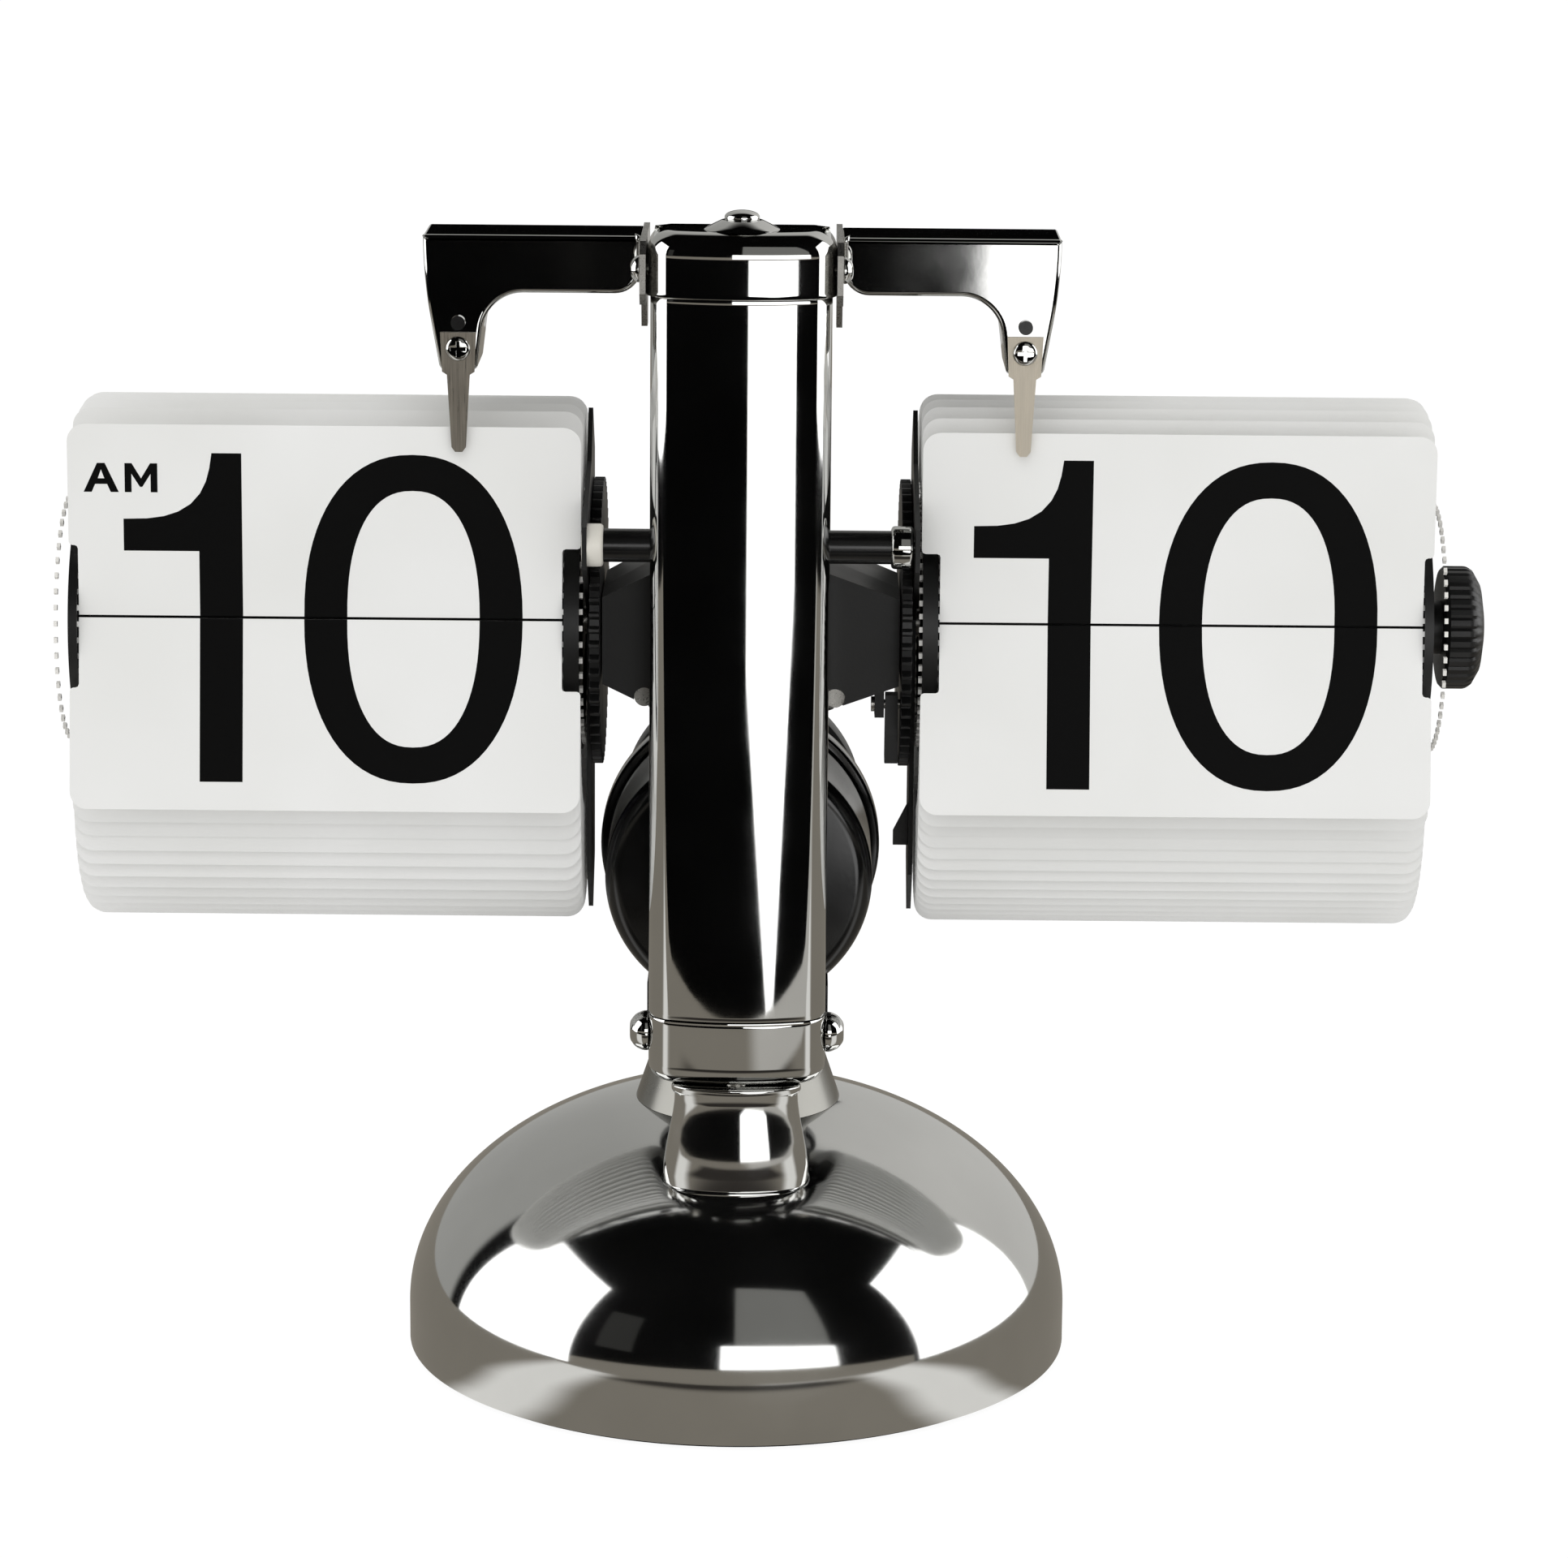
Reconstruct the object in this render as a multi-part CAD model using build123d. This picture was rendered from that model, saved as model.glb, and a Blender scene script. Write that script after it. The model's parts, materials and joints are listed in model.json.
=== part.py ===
from build123d import *
import math
import os

# Desk flip clock: chrome dome base, chrome pillar, and two leaf reels carried beside the pillar.
# Units are millimetres. X points right as seen from the front, the dial faces -Y and Z is up.
# The origin is the middle of the pad's underside. The left reel shows hours, the right one minutes.

# Base
base_radius = 58.0
base_wall_height = 7.0
base_dome_rise = 39.0
base_shell = 1.2
base_lift = 0.8
pad_thickness = 1.5
rim_gap = 0.8
plate_thickness = 1.2
weight_radius = 44.0
weight_thickness = 11.0
base_screw_circle = 32.0
base_screw_radius = 1.5
base_screw_head_radius = 2.8
base_screw_head_height = 1.0
base_screw_length = 8.0
base_screw_count = 3

# Crown post on top of the dome
crown_foot_radius = 20.4
crown_waist_radius = 14.6
crown_waist_z = 53.0
crown_top_z = 58.0
crown_bolt_radius = 2.5
crown_bolt_head_radius = 5.0
crown_bolt_head_height = 3.0

# Pillar, its cap and its cup
pillar_width = 30.0
pillar_front_y = -35.2
pillar_back_y = -19.5
pillar_front_arc_radius = 39.0
pillar_corner_radius = 3.5
pillar_wall = 1.0
pillar_bottom_z = 67.8
pillar_top_z = 190.3
cup_bottom_z = 56.2
cup_corner_radius = 5.5
cap_height = 10.7
cap_top_z = pillar_top_z + cap_height
cap_overhang = 0.7
cap_corner_radius = 4.2
plug_depth = 3.0
plug_clearance = 0.05

# Neck between dome and cup
neck_y = -31.4
neck_top_half_width = 10.8
neck_foot_half_width = 12.2
neck_depth_ratio = 0.45
neck_ring_half_width = 12.7
neck_ring_height = 1.6
neck_foot_z = 36.6
neck_bolt_radius = 2.0
neck_nut_half_width = 3.4

# Fasteners that show on the pillar
finial_washer_radius = 6.4
finial_washer_height = 0.9
finial_head_radius = 3.3
finial_head_height = 2.3
finial_shank_radius = 1.5
finial_shank_length = 6.0
acorn_radius = 3.4
acorn_length = 3.2
acorn_shank_radius = 1.3
acorn_shank_length = 2.5
cup_nut_z = 64.2
cup_nut_y = -27.0
cap_screw_drop = 6.4
cap_screw_z = cap_top_z - cap_screw_drop
cap_screw_y = -29.5
cap_screw_radius = 2.2
cap_screw_length = 1.6
cap_bolt_radius = 1.0
cap_bolt_length = 2.5
finial_y = (pillar_front_y + pillar_back_y) / 2

# Arms and spring fingers
arm_front_y = -20.2
arm_depth = 15.0
arm_drop = 2.2
arm_web_height = 9.6
arm_top_z = cap_top_z - arm_drop
arm_lower_z = arm_top_z - arm_web_height
arm_outer_x = 53.0
arm_wall = 1.2
arm_corner_radius = 6.0
leg_x = 47.2
leg_tip_half_width = 3.1
leg_length = 22.6
leg_outer_edge_height = 7.2
leg_tip_z = arm_top_z - leg_length
leg_outer_bend_z = arm_top_z - leg_outer_edge_height
bracket_thickness = 1.0
bracket_height = 10.5
bracket_hook_drop = 5.0
bracket_x = pillar_width / 2 + cap_overhang
arm_inner_x = bracket_x + bracket_thickness
arm_back_y = arm_front_y + arm_depth
finger_thickness = 0.4
finger_tab_half_width = 3.0
finger_tab_height = 6.4
finger_tab_top_z = leg_tip_z + finger_tab_height
finger_root_half_width = 1.9
finger_tip_half_width = 1.2
finger_reach = 13.7
finger_tip_z = leg_tip_z - finger_reach
finger_screw_rise = 3.7
finger_screw_z = leg_tip_z + finger_screw_rise
finger_screw_radius = 2.1
finger_screw_head = 0.9
finger_screw_shank_radius = 0.9
finger_pin_rise = 8.0
finger_pin_z = leg_tip_z + finger_pin_rise
finger_pin_radius = 1.2
finger_pin_height = 0.8
finger_pin_shank_radius = 0.7

# Reels
axis_z = 130.0
ear_circle_radius = 21.0
ear_half_width = 0.45
ear_groove_half_width = 0.75
ear_groove_depth = 1.4
ear_depth = 1.1
leaf_thickness = 0.2
leaf_gap = 0.03
leaf_length = 31.2
leaf_width = 86.1
leaf_chamfer = 2.0
leaf_corner_radius = 3.0
notch_length = 10.7
split_half_gap = 0.22
split_height = 4.0
nest_margin = 0.4
hour_leaf_count = 48
minute_leaf_count = 60
hour_inner_edge = 26.8
minute_inner_edge = 30.5
flip_leaf_lean = 2.0
lean_step_share = 1.2
inner_disc_inset = 0.3
inner_disc_thickness = 2.6
outer_disc_inset = 1.3
outer_disc_thickness = 3.4
disc_rim_radius = 22.3
disc_leaf_clearance = 0.25
spool_radius = 5.0
axle_radius = 2.4
axle_clearance = 0.05
ear_tip_height = 0.6
ear_tip_width = 0.9

# Gears
gear_module = 0.8
gear_teeth = 60
pinion_teeth = 12
gear_thickness = 1.7
gear_to_plate_gap = 0.2
tooth_addendum = 0.9
tooth_dedendum = 1.2
tooth_tip_half = 0.26
tooth_root_half = 0.62
pinion_angle = -28.0
pinion_shaft_radius = 1.2
pinion_clearance = 0.05

# Side plates, tie rod and trip lever
plate_gap = 0.5
side_plate_thickness = 0.8
side_plate_top_z = 167.0
side_plate_bottom_z = 79.0
side_plate_half_depth = 7.5
side_plate_axle_clearance = 0.4
tie_rod_y = -25.5
tie_rod_z = 147.8
tie_rod_radius = 2.8
tie_rod_bolt_radius = 1.2
tie_nut_radius = 2.9
tie_nut_length = 2.6
stop_tab_z = 96.0
stop_tab_height = 8.4
stop_tab_width = 2.6
stop_tab_y = -5.4
stop_tab_thickness = 1.2
lever_pivot_y = -12.0
lever_pivot_z = 118.2
lever_length = 10.5
lever_thickness = 2.2
lever_pin_radius = 0.8
lever_lug_thickness = 1.6
lever_side_gap = 0.2

# Gearbox behind the pillar
gearbox_half_width = 14.8
gearbox_front_y = -18.0
gearbox_split_y = 6.0
gearbox_back_y = 31.0
gearbox_half_height = 13.6
gearbox_nose_half_height = 7.5
gearbox_wall = 1.6
gearbox_chamfer_y = -9.0
gearbox_top_z = 147.0
wing_back_y = 5.0
wing_end_gap = 0.3
gearbox_screw_radius = 1.7
gearbox_screw_height = 0.9
gearbox_bolt_radius = 0.9
gearbox_bolt_length = 6.0
bush_radius = 4.0
bush_overlap = 6.0
gearbox_screw_x = 16.2
gearbox_screw_z = 120.2
gearbox_seat_y = -16.0
gearbox_front_step = 1.0
motor_radius = 7.0

# Battery drum, cell and chassis
drum_z = 87.5
drum_radius = 23.0
drum_front_y = -15.0
drum_step_y = 12.0
drum_flange_radius = 24.6
drum_flange_back_y = 17.0
drum_edge_radius = 3.0
drum_tube_radius = 20.0
cell_radius = 16.8
cell_length = 58.0
cell_front_y = -11.5
cell_stand_out = 0.5
drum_back_y = cell_front_y + cell_length - cell_stand_out
cell_button_radius = 4.8
cell_button_height = 1.5
cell_clearance = 0.5
contact_thickness = 0.4
contact_radius = 9.0
cover_radius = 21.8
cover_thickness = 2.2
cover_skirt_length = 4.5
cover_clearance = 0.1
cover_inside_gap = 0.4
cover_grip_width = 4.0
cover_grip_height = 3.0
chassis_half_width = 15.5
chassis_back_y = 8.0
chassis_foot_top_z = 71.0
spine_half_width = 12.0
spine_top_z = 178.3

# Setting knob
knob_radius = 10.6
knob_length = 7.2
knob_gap = 1.9
knob_flutes = 24
knob_flute_depth = 0.5
knob_dome = 2.6

# Small numbers shared by several pieces
running_gap = 0.3
bolt_end_gap = 0.5
cut_extra = 1.0

# Heights and widths that follow from the ones above
plate_bottom_z = pad_thickness
plate_top_z = plate_bottom_z + plate_thickness
inner_radius = base_radius - base_shell
plate_radius = inner_radius - running_gap
weight_top_z = plate_top_z + weight_thickness
crown_bolt_top_z = crown_top_z + 4.0
gearbox_bottom_z = drum_z + drum_flange_radius + running_gap


def cylinder_x(radius, x0, x1, y, z):
    """Solid cylinder along X."""
    return Pos((x0 + x1) / 2, y, z) * Rot(0, 90, 0) * Cylinder(radius, abs(x1 - x0))


def cylinder_y(radius, y0, y1, x, z):
    """Solid cylinder along Y."""
    return Pos(x, (y0 + y1) / 2, z) * Rot(90, 0, 0) * Cylinder(radius, abs(y1 - y0))


def cylinder_z(radius, z0, z1, x=0, y=0):
    """Solid cylinder along Z."""
    return Pos(x, y, (z0 + z1) / 2) * Cylinder(radius, abs(z1 - z0))


def block(x0, x1, y0, y1, z0, z1):
    """Box between two corners."""
    return Pos((x0 + x1) / 2, (y0 + y1) / 2, (z0 + z1) / 2) * Box(abs(x1 - x0), abs(y1 - y0), abs(z1 - z0))


def front_outline(points, y0, y1):
    """Extrude an XZ outline from y0 back to y1."""
    face = Plane.XZ.offset(-y0) * make_face(Polyline(*points, close=True))
    return extrude(face, amount=-(y1 - y0))


def side_outline(points, x0, x1):
    """Extrude a YZ outline from x0 to x1."""
    face = Plane.YZ.offset(x0) * make_face(Polyline(*points, close=True))
    return extrude(face, amount=x1 - x0)


def turned(points):
    """Revolve an RZ outline about the Z axis."""
    face = Plane.XZ * make_face(Polyline(*points, close=True))
    return revolve(face, Axis.Z)


def save(name, solids):
    """Write one sub-part as a STEP file."""
    if isinstance(solids, (list, tuple)):
        solids = Compound(children=list(solids))
    export_step(solids, os.path.join("parts", name + ".step"))


def dome_z(radius):
    """Height of the dome's outer surface at a distance from its axis."""
    share = max(0.0, 1 - (radius / base_radius) ** 2)
    return base_lift + base_wall_height + base_dome_rise * math.sqrt(share)


def dome_solid(inset):
    """Solid dome with its outer surface moved in by inset."""
    radius = base_radius - inset
    wall_top = base_lift + base_wall_height
    apex = wall_top + base_dome_rise - inset
    profile = Line((0, base_lift), (radius, base_lift))
    profile += Line((radius, base_lift), (radius, wall_top))
    arc = EllipticalCenterArc((0, wall_top), radius, base_dome_rise - inset, 0, arc_size=90)
    profile += arc
    profile += Line((0, apex), (0, base_lift))
    return revolve(Plane.XZ * make_face(profile), Axis.Z)


def base_screw_places():
    """Angles of the screws that hold the bottom plate."""
    return [90 + i * 360 / base_screw_count for i in range(base_screw_count)]


def around_base(angle):
    """Point on the screw circle."""
    return base_screw_circle * math.cos(math.radians(angle)), base_screw_circle * math.sin(math.radians(angle))


def base_pad():
    """Soft round pad with a pocket for each screw head."""
    pad = cylinder_z(base_radius - rim_gap - base_shell, 0, pad_thickness)
    pocket_bottom = plate_bottom_z - base_screw_head_height - plug_clearance
    for angle in base_screw_places():
        x, y = around_base(angle)
        pad -= cylinder_z(base_screw_head_radius + running_gap, pocket_bottom, pad_thickness + cut_extra, x, y)
    return pad


def base_bottom_plate():
    plate = cylinder_z(plate_radius, plate_bottom_z, plate_top_z)
    for angle in base_screw_places():
        x, y = around_base(angle)
        plate -= cylinder_z(base_screw_radius + plug_clearance, plate_bottom_z - 1, plate_top_z + 1, x, y)
    return plate


def base_weight():
    weight = cylinder_z(weight_radius, plate_top_z, weight_top_z)
    weight = chamfer(weight.edges().group_by(Axis.Z)[-1], 2.0)
    weight -= cylinder_z(crown_bolt_head_radius + 1.5, plate_top_z - 1, weight_top_z - 4)
    weight -= cylinder_z(crown_bolt_radius + plug_clearance, 0, weight_top_z + 1)
    for angle in base_screw_places():
        x, y = around_base(angle)
        weight -= cylinder_z(base_screw_radius + plug_clearance, 0, plate_top_z + base_screw_length, x, y)
    return weight


def base_screws():
    screws = []
    head_bottom = plate_bottom_z - base_screw_head_height
    for angle in base_screw_places():
        x, y = around_base(angle)
        head = cylinder_z(base_screw_head_radius, head_bottom, plate_bottom_z, x, y)
        shank = cylinder_z(base_screw_radius, plate_bottom_z, plate_top_z + base_screw_length - 1, x, y)
        screws.append(head + shank)
    return screws


def crown_profile():
    """Outer trumpet outline of the crown post, from its foot on the dome to its top."""
    foot_z = dome_z(crown_foot_radius)
    flare = [(crown_foot_radius, foot_z)]
    for share in (0.25, 0.5, 0.75, 1.0):
        angle = share * math.pi / 2
        r = crown_foot_radius - (crown_foot_radius - crown_waist_radius) * math.sin(angle)
        z = crown_waist_z - (crown_waist_z - foot_z) * math.cos(angle)
        flare.append((r, z))
    flare.append((crown_waist_radius, crown_top_z))
    return flare


def crown_post():
    inner_foot = dome_z(crown_foot_radius) - 2
    outline = [(0, inner_foot), (crown_foot_radius, inner_foot)] + crown_profile() + [(0, crown_top_z)]
    post = turned(outline)
    post -= dome_solid(0)
    post -= cylinder_z(crown_bolt_radius + plug_clearance, 0, crown_top_z + 1)
    return post


def base_dome():
    shell = dome_solid(0) - dome_solid(base_shell)
    below = base_lift - cut_extra
    shell -= cylinder_z(inner_radius, below, base_lift + base_shell + cut_extra)
    shell -= cylinder_z(crown_bolt_radius + plug_clearance, 30, 60)
    shell -= cylinder_z(neck_bolt_radius + plug_clearance, 20, 60, 0, neck_y)
    return shell


def crown_bolt():
    head_top = weight_top_z - 4
    head_bottom = head_top - crown_bolt_head_height
    head = cylinder_z(crown_bolt_head_radius, head_bottom, head_top)
    return head + cylinder_z(crown_bolt_radius, head_top, crown_bolt_top_z)


def neck_section(half_width, z):
    """Oval section of the neck."""
    return Pos(0, neck_y, z) * Ellipse(half_width, half_width * neck_depth_ratio)


def neck_post():
    ring_top = neck_foot_z + neck_ring_height
    mid_z = (cup_bottom_z + ring_top) / 2
    mid_half = neck_top_half_width + (neck_foot_half_width - neck_top_half_width) * 0.7
    body = loft([
        neck_section(neck_foot_half_width, ring_top - 1),
        neck_section(mid_half, mid_z),
        neck_section(neck_top_half_width, cup_bottom_z),
    ])
    ring = extrude(neck_section(neck_ring_half_width, neck_foot_z - 4), amount=neck_ring_height + 4)
    post = body + ring
    post -= dome_solid(0)
    post -= cylinder_z(neck_bolt_radius + plug_clearance, 0, 80, 0, neck_y)
    return post


def neck_bolt():
    nut_top = dome_z(math.hypot(0, neck_y) + neck_nut_half_width) - base_shell * 1.6
    nut = Pos(0, neck_y, nut_top - 3) * extrude(RegularPolygon(neck_nut_half_width, 6), amount=3)
    return nut + cylinder_z(neck_bolt_radius, nut_top, cup_bottom_z + 4, 0, neck_y)


def pillar_section(grow=0.0):
    """Pillar section: a shallow arc in front, rounded front corners and a flat back."""
    half = pillar_width / 2 + grow
    depth = pillar_back_y - pillar_front_y + 2 * grow
    middle_y = (pillar_front_y + pillar_back_y) / 2
    face = Pos(0, middle_y) * Rectangle(2 * half, depth)
    arc_radius = pillar_front_arc_radius + grow
    face &= Pos(0, pillar_front_y + pillar_front_arc_radius) * Circle(arc_radius)
    front = face.vertices().group_by(Axis.Y)[0]
    back = face.vertices().group_by(Axis.Y)[-1]
    face = fillet(front, pillar_corner_radius + grow)
    return fillet(face.vertices().group_by(Axis.Y)[-1], 1.0 + max(grow, 0))


def pillar_shell():
    outer = Pos(0, 0, pillar_bottom_z) * extrude(pillar_section(), amount=pillar_top_z - pillar_bottom_z)
    inner = Pos(0, 0, pillar_bottom_z - 1) * extrude(
        pillar_section(-pillar_wall), amount=pillar_top_z - pillar_bottom_z + 2
    )
    shell = outer - inner
    shell -= cylinder_x(tie_rod_radius + plug_clearance, -pillar_width, pillar_width, tie_rod_y, tie_rod_z)
    return shell


def rounded_front(half_width, z0, z1, radius, bottom):
    """Front-view blank with its bottom or top corners rounded."""
    face = Plane.XZ * Pos(0, (z0 + z1) / 2) * Rectangle(2 * half_width, z1 - z0)
    corners = face.vertices().group_by(Axis.Z)[0 if bottom else -1]
    face = fillet(corners, radius)
    return extrude(face, amount=60, both=True)


def rounded_side(y0, y1, z0, z1, radius, bottom):
    """Side-view blank with its front bottom or front top corner rounded."""
    face = Plane.YZ * Pos((y0 + y1) / 2, (z0 + z1) / 2) * Rectangle(y1 - y0, z1 - z0)
    corners = face.vertices().group_by(Axis.Z)[0 if bottom else -1]
    face = fillet(corners, radius)
    return extrude(face, amount=60, both=True)


def pillar_cup():
    half = pillar_width / 2
    height = pillar_bottom_z - cup_bottom_z
    blank = Pos(0, 0, cup_bottom_z) * extrude(pillar_section(), amount=height)
    blank &= rounded_front(half, cup_bottom_z, pillar_bottom_z, cup_corner_radius, True)
    blank &= rounded_side(pillar_front_y, pillar_back_y, cup_bottom_z, pillar_bottom_z, pillar_corner_radius, True)
    plug = Pos(0, 0, pillar_bottom_z) * extrude(pillar_section(-pillar_wall - plug_clearance), amount=plug_depth)
    cup = blank + plug
    cup -= cylinder_z(neck_bolt_radius + plug_clearance, 0, cup_bottom_z + 4, 0, neck_y)
    for side in (-1, 1):
        x1 = side * (half - acorn_shank_length - bolt_end_gap)
        cup -= cylinder_x(acorn_shank_radius + plug_clearance, side * (half + 1), x1, cup_nut_y, cup_nut_z)
    return cup


def pillar_cap():
    half = pillar_width / 2 + cap_overhang
    height = cap_top_z - pillar_top_z
    blank = Pos(0, 0, pillar_top_z) * extrude(pillar_section(cap_overhang), amount=height)
    blank &= rounded_front(half, pillar_top_z, cap_top_z, cap_corner_radius, False)
    y0 = pillar_front_y - cap_overhang
    y1 = pillar_back_y + cap_overhang
    blank &= rounded_side(y0, y1, pillar_top_z, cap_top_z, cap_corner_radius, False)
    plug = Pos(0, 0, pillar_top_z - plug_depth) * extrude(
        pillar_section(-pillar_wall - plug_clearance), amount=plug_depth
    )
    cap = blank + plug
    cap -= cylinder_z(finial_shank_radius + plug_clearance, cap_top_z - finial_shank_length - 1, cap_top_z + 1,
                      0, finial_y)
    for side in (-1, 1):
        x1 = side * (half - cap_bolt_length - bolt_end_gap)
        cap -= cylinder_x(cap_bolt_radius + plug_clearance, side * (half + 1), x1, cap_screw_y, cap_screw_z)
    return cap


def finial_washer():
    bottom = cap_top_z
    top = bottom + finial_washer_height
    face = [(finial_shank_radius + plug_clearance, bottom), (finial_washer_radius, bottom)]
    face += [(finial_washer_radius - 1.6, top - 0.2), (finial_shank_radius + plug_clearance, top)]
    return Pos(0, finial_y) * turned(face)


def finial_screw():
    bottom = cap_top_z + finial_washer_height
    face = [(0, bottom - finial_shank_length), (finial_shank_radius, bottom - finial_shank_length)]
    face += [(finial_shank_radius, bottom), (finial_head_radius, bottom)]
    for angle in (20, 45, 70):
        r = finial_head_radius * math.cos(math.radians(angle))
        face.append((r, bottom + finial_head_height * math.sin(math.radians(angle))))
    face.append((0, bottom + finial_head_height))
    return Pos(0, finial_y) * turned(face)


def acorn(side, x, y, z, radius, length, shank_radius, shank_length):
    """Domed nut or screw that stands out from a side face, with its shank inside."""
    outline = [(0, -shank_length), (shank_radius, -shank_length), (shank_radius, 0), (radius, 0)]
    outline += [(radius, length * 0.35), (radius * 0.8, length * 0.75), (radius * 0.4, length), (0, length)]
    return Pos(x, y, z) * Rot(0, 90 * side, 0) * turned(outline)


def cup_side_nuts():
    half = pillar_width / 2
    return [
        acorn(side, side * half, cup_nut_y, cup_nut_z, acorn_radius, acorn_length,
              acorn_shank_radius, acorn_shank_length)
        for side in (-1, 1)
    ]


def cap_side_screws():
    half = pillar_width / 2 + cap_overhang + bracket_thickness
    return [
        acorn(side, side * half, cap_screw_y, cap_screw_z, cap_screw_radius, cap_screw_length,
              cap_bolt_radius, cap_bolt_length)
        for side in (-1, 1)
    ]


def mirror_x(solid, side):
    """The same solid for the right side, or its mirror image for the left."""
    return solid if side > 0 else mirror(solid, Plane.YZ)


def arm_bracket(side):
    """Side plate between the cap and an arm, with a small hook below."""
    y0 = pillar_front_y + 2.2
    y1 = arm_back_y
    z1 = arm_top_z + 0.6
    z0 = z1 - bracket_height
    hook_z = z0 - bracket_hook_drop
    points = [(y0, z0 + 2), (y0, z1 - 2), (y0 + 2, z1), (y1, z1), (y1, z0)]
    points += [(arm_front_y + 5, z0), (arm_front_y + 4, hook_z), (arm_front_y, hook_z), (arm_front_y - 2, z0)]
    points += [(y0 + 2, z0)]
    plate = side_outline(points, bracket_x, bracket_x + bracket_thickness)
    plate -= cylinder_x(cap_bolt_radius + plug_clearance, 0, 40, cap_screw_y, cap_screw_z)
    return mirror_x(plate, side)


def arm_front_face(inset):
    """Front outline of an arm with its leg, moved in by inset on its free edges."""
    inner = arm_inner_x
    lower = arm_lower_z + inset
    tip = leg_tip_half_width - inset
    edge = Polyline(
        (inner, arm_top_z - inset),
        (arm_outer_x - inset, arm_top_z - inset),
        (arm_outer_x - inset, leg_outer_bend_z),
        (leg_x + tip, leg_tip_z + inset),
        (leg_x - tip, leg_tip_z + inset),
        (leg_x - tip - 1.6, lower),
        (inner, lower),
        close=True,
    )
    face = make_face(edge)
    corners = [v for v in face.vertices() if abs(v.Y - lower) < 0.01 and v.X > inner + 5]
    face = fillet(corners, arm_corner_radius)
    corners = [v for v in face.vertices() if abs(v.Y - lower) < 0.01 and v.X < inner + 1]
    return fillet(corners, 4.5)


def arm(side):
    """Folded sheet arm: front web with top, outer and lower flanges, open at the back."""
    blank = extrude(Plane.XZ.offset(-arm_front_y) * arm_front_face(0), amount=-arm_depth)
    hollow = extrude(Plane.XZ.offset(-arm_front_y - arm_wall) * arm_front_face(arm_wall), amount=-arm_depth)
    part = blank - hollow
    part -= cylinder_y(finger_screw_shank_radius + plug_clearance, arm_front_y - 1, arm_front_y + 3,
                       leg_x, finger_screw_z)
    part -= cylinder_y(finger_pin_shank_radius + plug_clearance, arm_front_y - 1, arm_front_y + 3,
                       leg_x, finger_pin_z)
    return mirror_x(part, side)


def finger(side):
    """Flat spring blade that holds the top of the next leaf back."""
    tab_bottom = leg_tip_z - 0.2
    points = [
        (leg_x - finger_tab_half_width, finger_tab_top_z),
        (leg_x + finger_tab_half_width, finger_tab_top_z),
        (leg_x + finger_tab_half_width - 0.3, tab_bottom),
        (leg_x + finger_root_half_width, tab_bottom - 0.5),
        (leg_x + finger_tip_half_width, finger_tip_z + 0.8),
        (leg_x + finger_tip_half_width * 0.5, finger_tip_z),
        (leg_x - finger_tip_half_width * 0.5, finger_tip_z),
        (leg_x - finger_tip_half_width, finger_tip_z + 0.8),
        (leg_x - finger_root_half_width, tab_bottom - 0.5),
        (leg_x - finger_tab_half_width + 0.3, tab_bottom),
    ]
    blade = front_outline(points, arm_front_y - finger_thickness, arm_front_y)
    blade -= cylinder_y(finger_screw_shank_radius + plug_clearance, arm_front_y - 2, arm_front_y + 2,
                        leg_x, finger_screw_z)
    return mirror_x(blade, side)


def finger_screws():
    screws = []
    for side in (-1, 1):
        face_y = arm_front_y - finger_thickness
        head = cylinder_y(finger_screw_radius, face_y - finger_screw_head, face_y, side * leg_x, finger_screw_z)
        shank = cylinder_y(finger_screw_shank_radius, face_y, arm_front_y + arm_wall + 1, side * leg_x,
                           finger_screw_z)
        screws.append(head + shank)
    return screws


def finger_pins():
    pins = []
    for side in (-1, 1):
        head = cylinder_y(finger_pin_radius, arm_front_y - finger_pin_height, arm_front_y, side * leg_x,
                          finger_pin_z)
        shank = cylinder_y(finger_pin_shank_radius, arm_front_y, arm_front_y + arm_wall + 0.5, side * leg_x,
                           finger_pin_z)
        pins.append(head + shank)
    return pins


# Leaf places around a reel. Angles are measured from the front, rising, in degrees.

def leaf_pitch(count):
    return 360 / count


def nesting_angle(count):
    """Least angle between a leaf and the line to the next ear that keeps two leaves apart."""
    chord = 2 * ear_circle_radius * math.sin(math.radians(leaf_pitch(count) / 2))
    turn = ear_half_width * math.sin(math.radians(leaf_pitch(count)))
    return math.degrees(math.asin((leaf_thickness + leaf_gap + turn) / chord))


def split_angle():
    """Angle at which the gap between the shown halves lies."""
    return math.degrees(math.asin(split_height / ear_circle_radius))


def waiting_places(count):
    """Ear angle and backward lean of each leaf that has not fallen, the flip leaf first."""
    pitch = leaf_pitch(count)
    nest = nesting_angle(count) + nest_margin
    places = []
    angle = split_angle() + pitch / 2
    index = 0
    while angle < 182:
        lean = flip_leaf_lean + index * pitch * lean_step_share
        tangent = angle - (nest - pitch / 2)
        places.append((angle, min(lean, tangent)))
        index += 1
        angle += pitch
    return places


def fallen_places(count):
    """Ear angle and forward lean of each hanging leaf, the shown lower leaf first."""
    pitch = leaf_pitch(count)
    nest = nesting_angle(count) + nest_margin
    places = []
    angle = split_angle() - pitch / 2
    for _ in range(count - len(waiting_places(count))):
        needed = angle - pitch / 2 + nest
        places.append((angle, max(0.0, needed) if angle > -90 else 0.0))
        angle -= pitch
    return places


def leaf_direction(lean, fallen):
    """Unit vector along a leaf from its ears. Lean tips a rising leaf back and a hanging one forward."""
    a = math.radians(lean)
    if fallen:
        return (0.0, -math.sin(a), -math.cos(a))
    return (0.0, math.sin(a), math.cos(a))


def ear_centre(angle):
    a = math.radians(angle)
    return (-ear_circle_radius * math.cos(a), axis_z + ear_circle_radius * math.sin(a))


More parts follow.
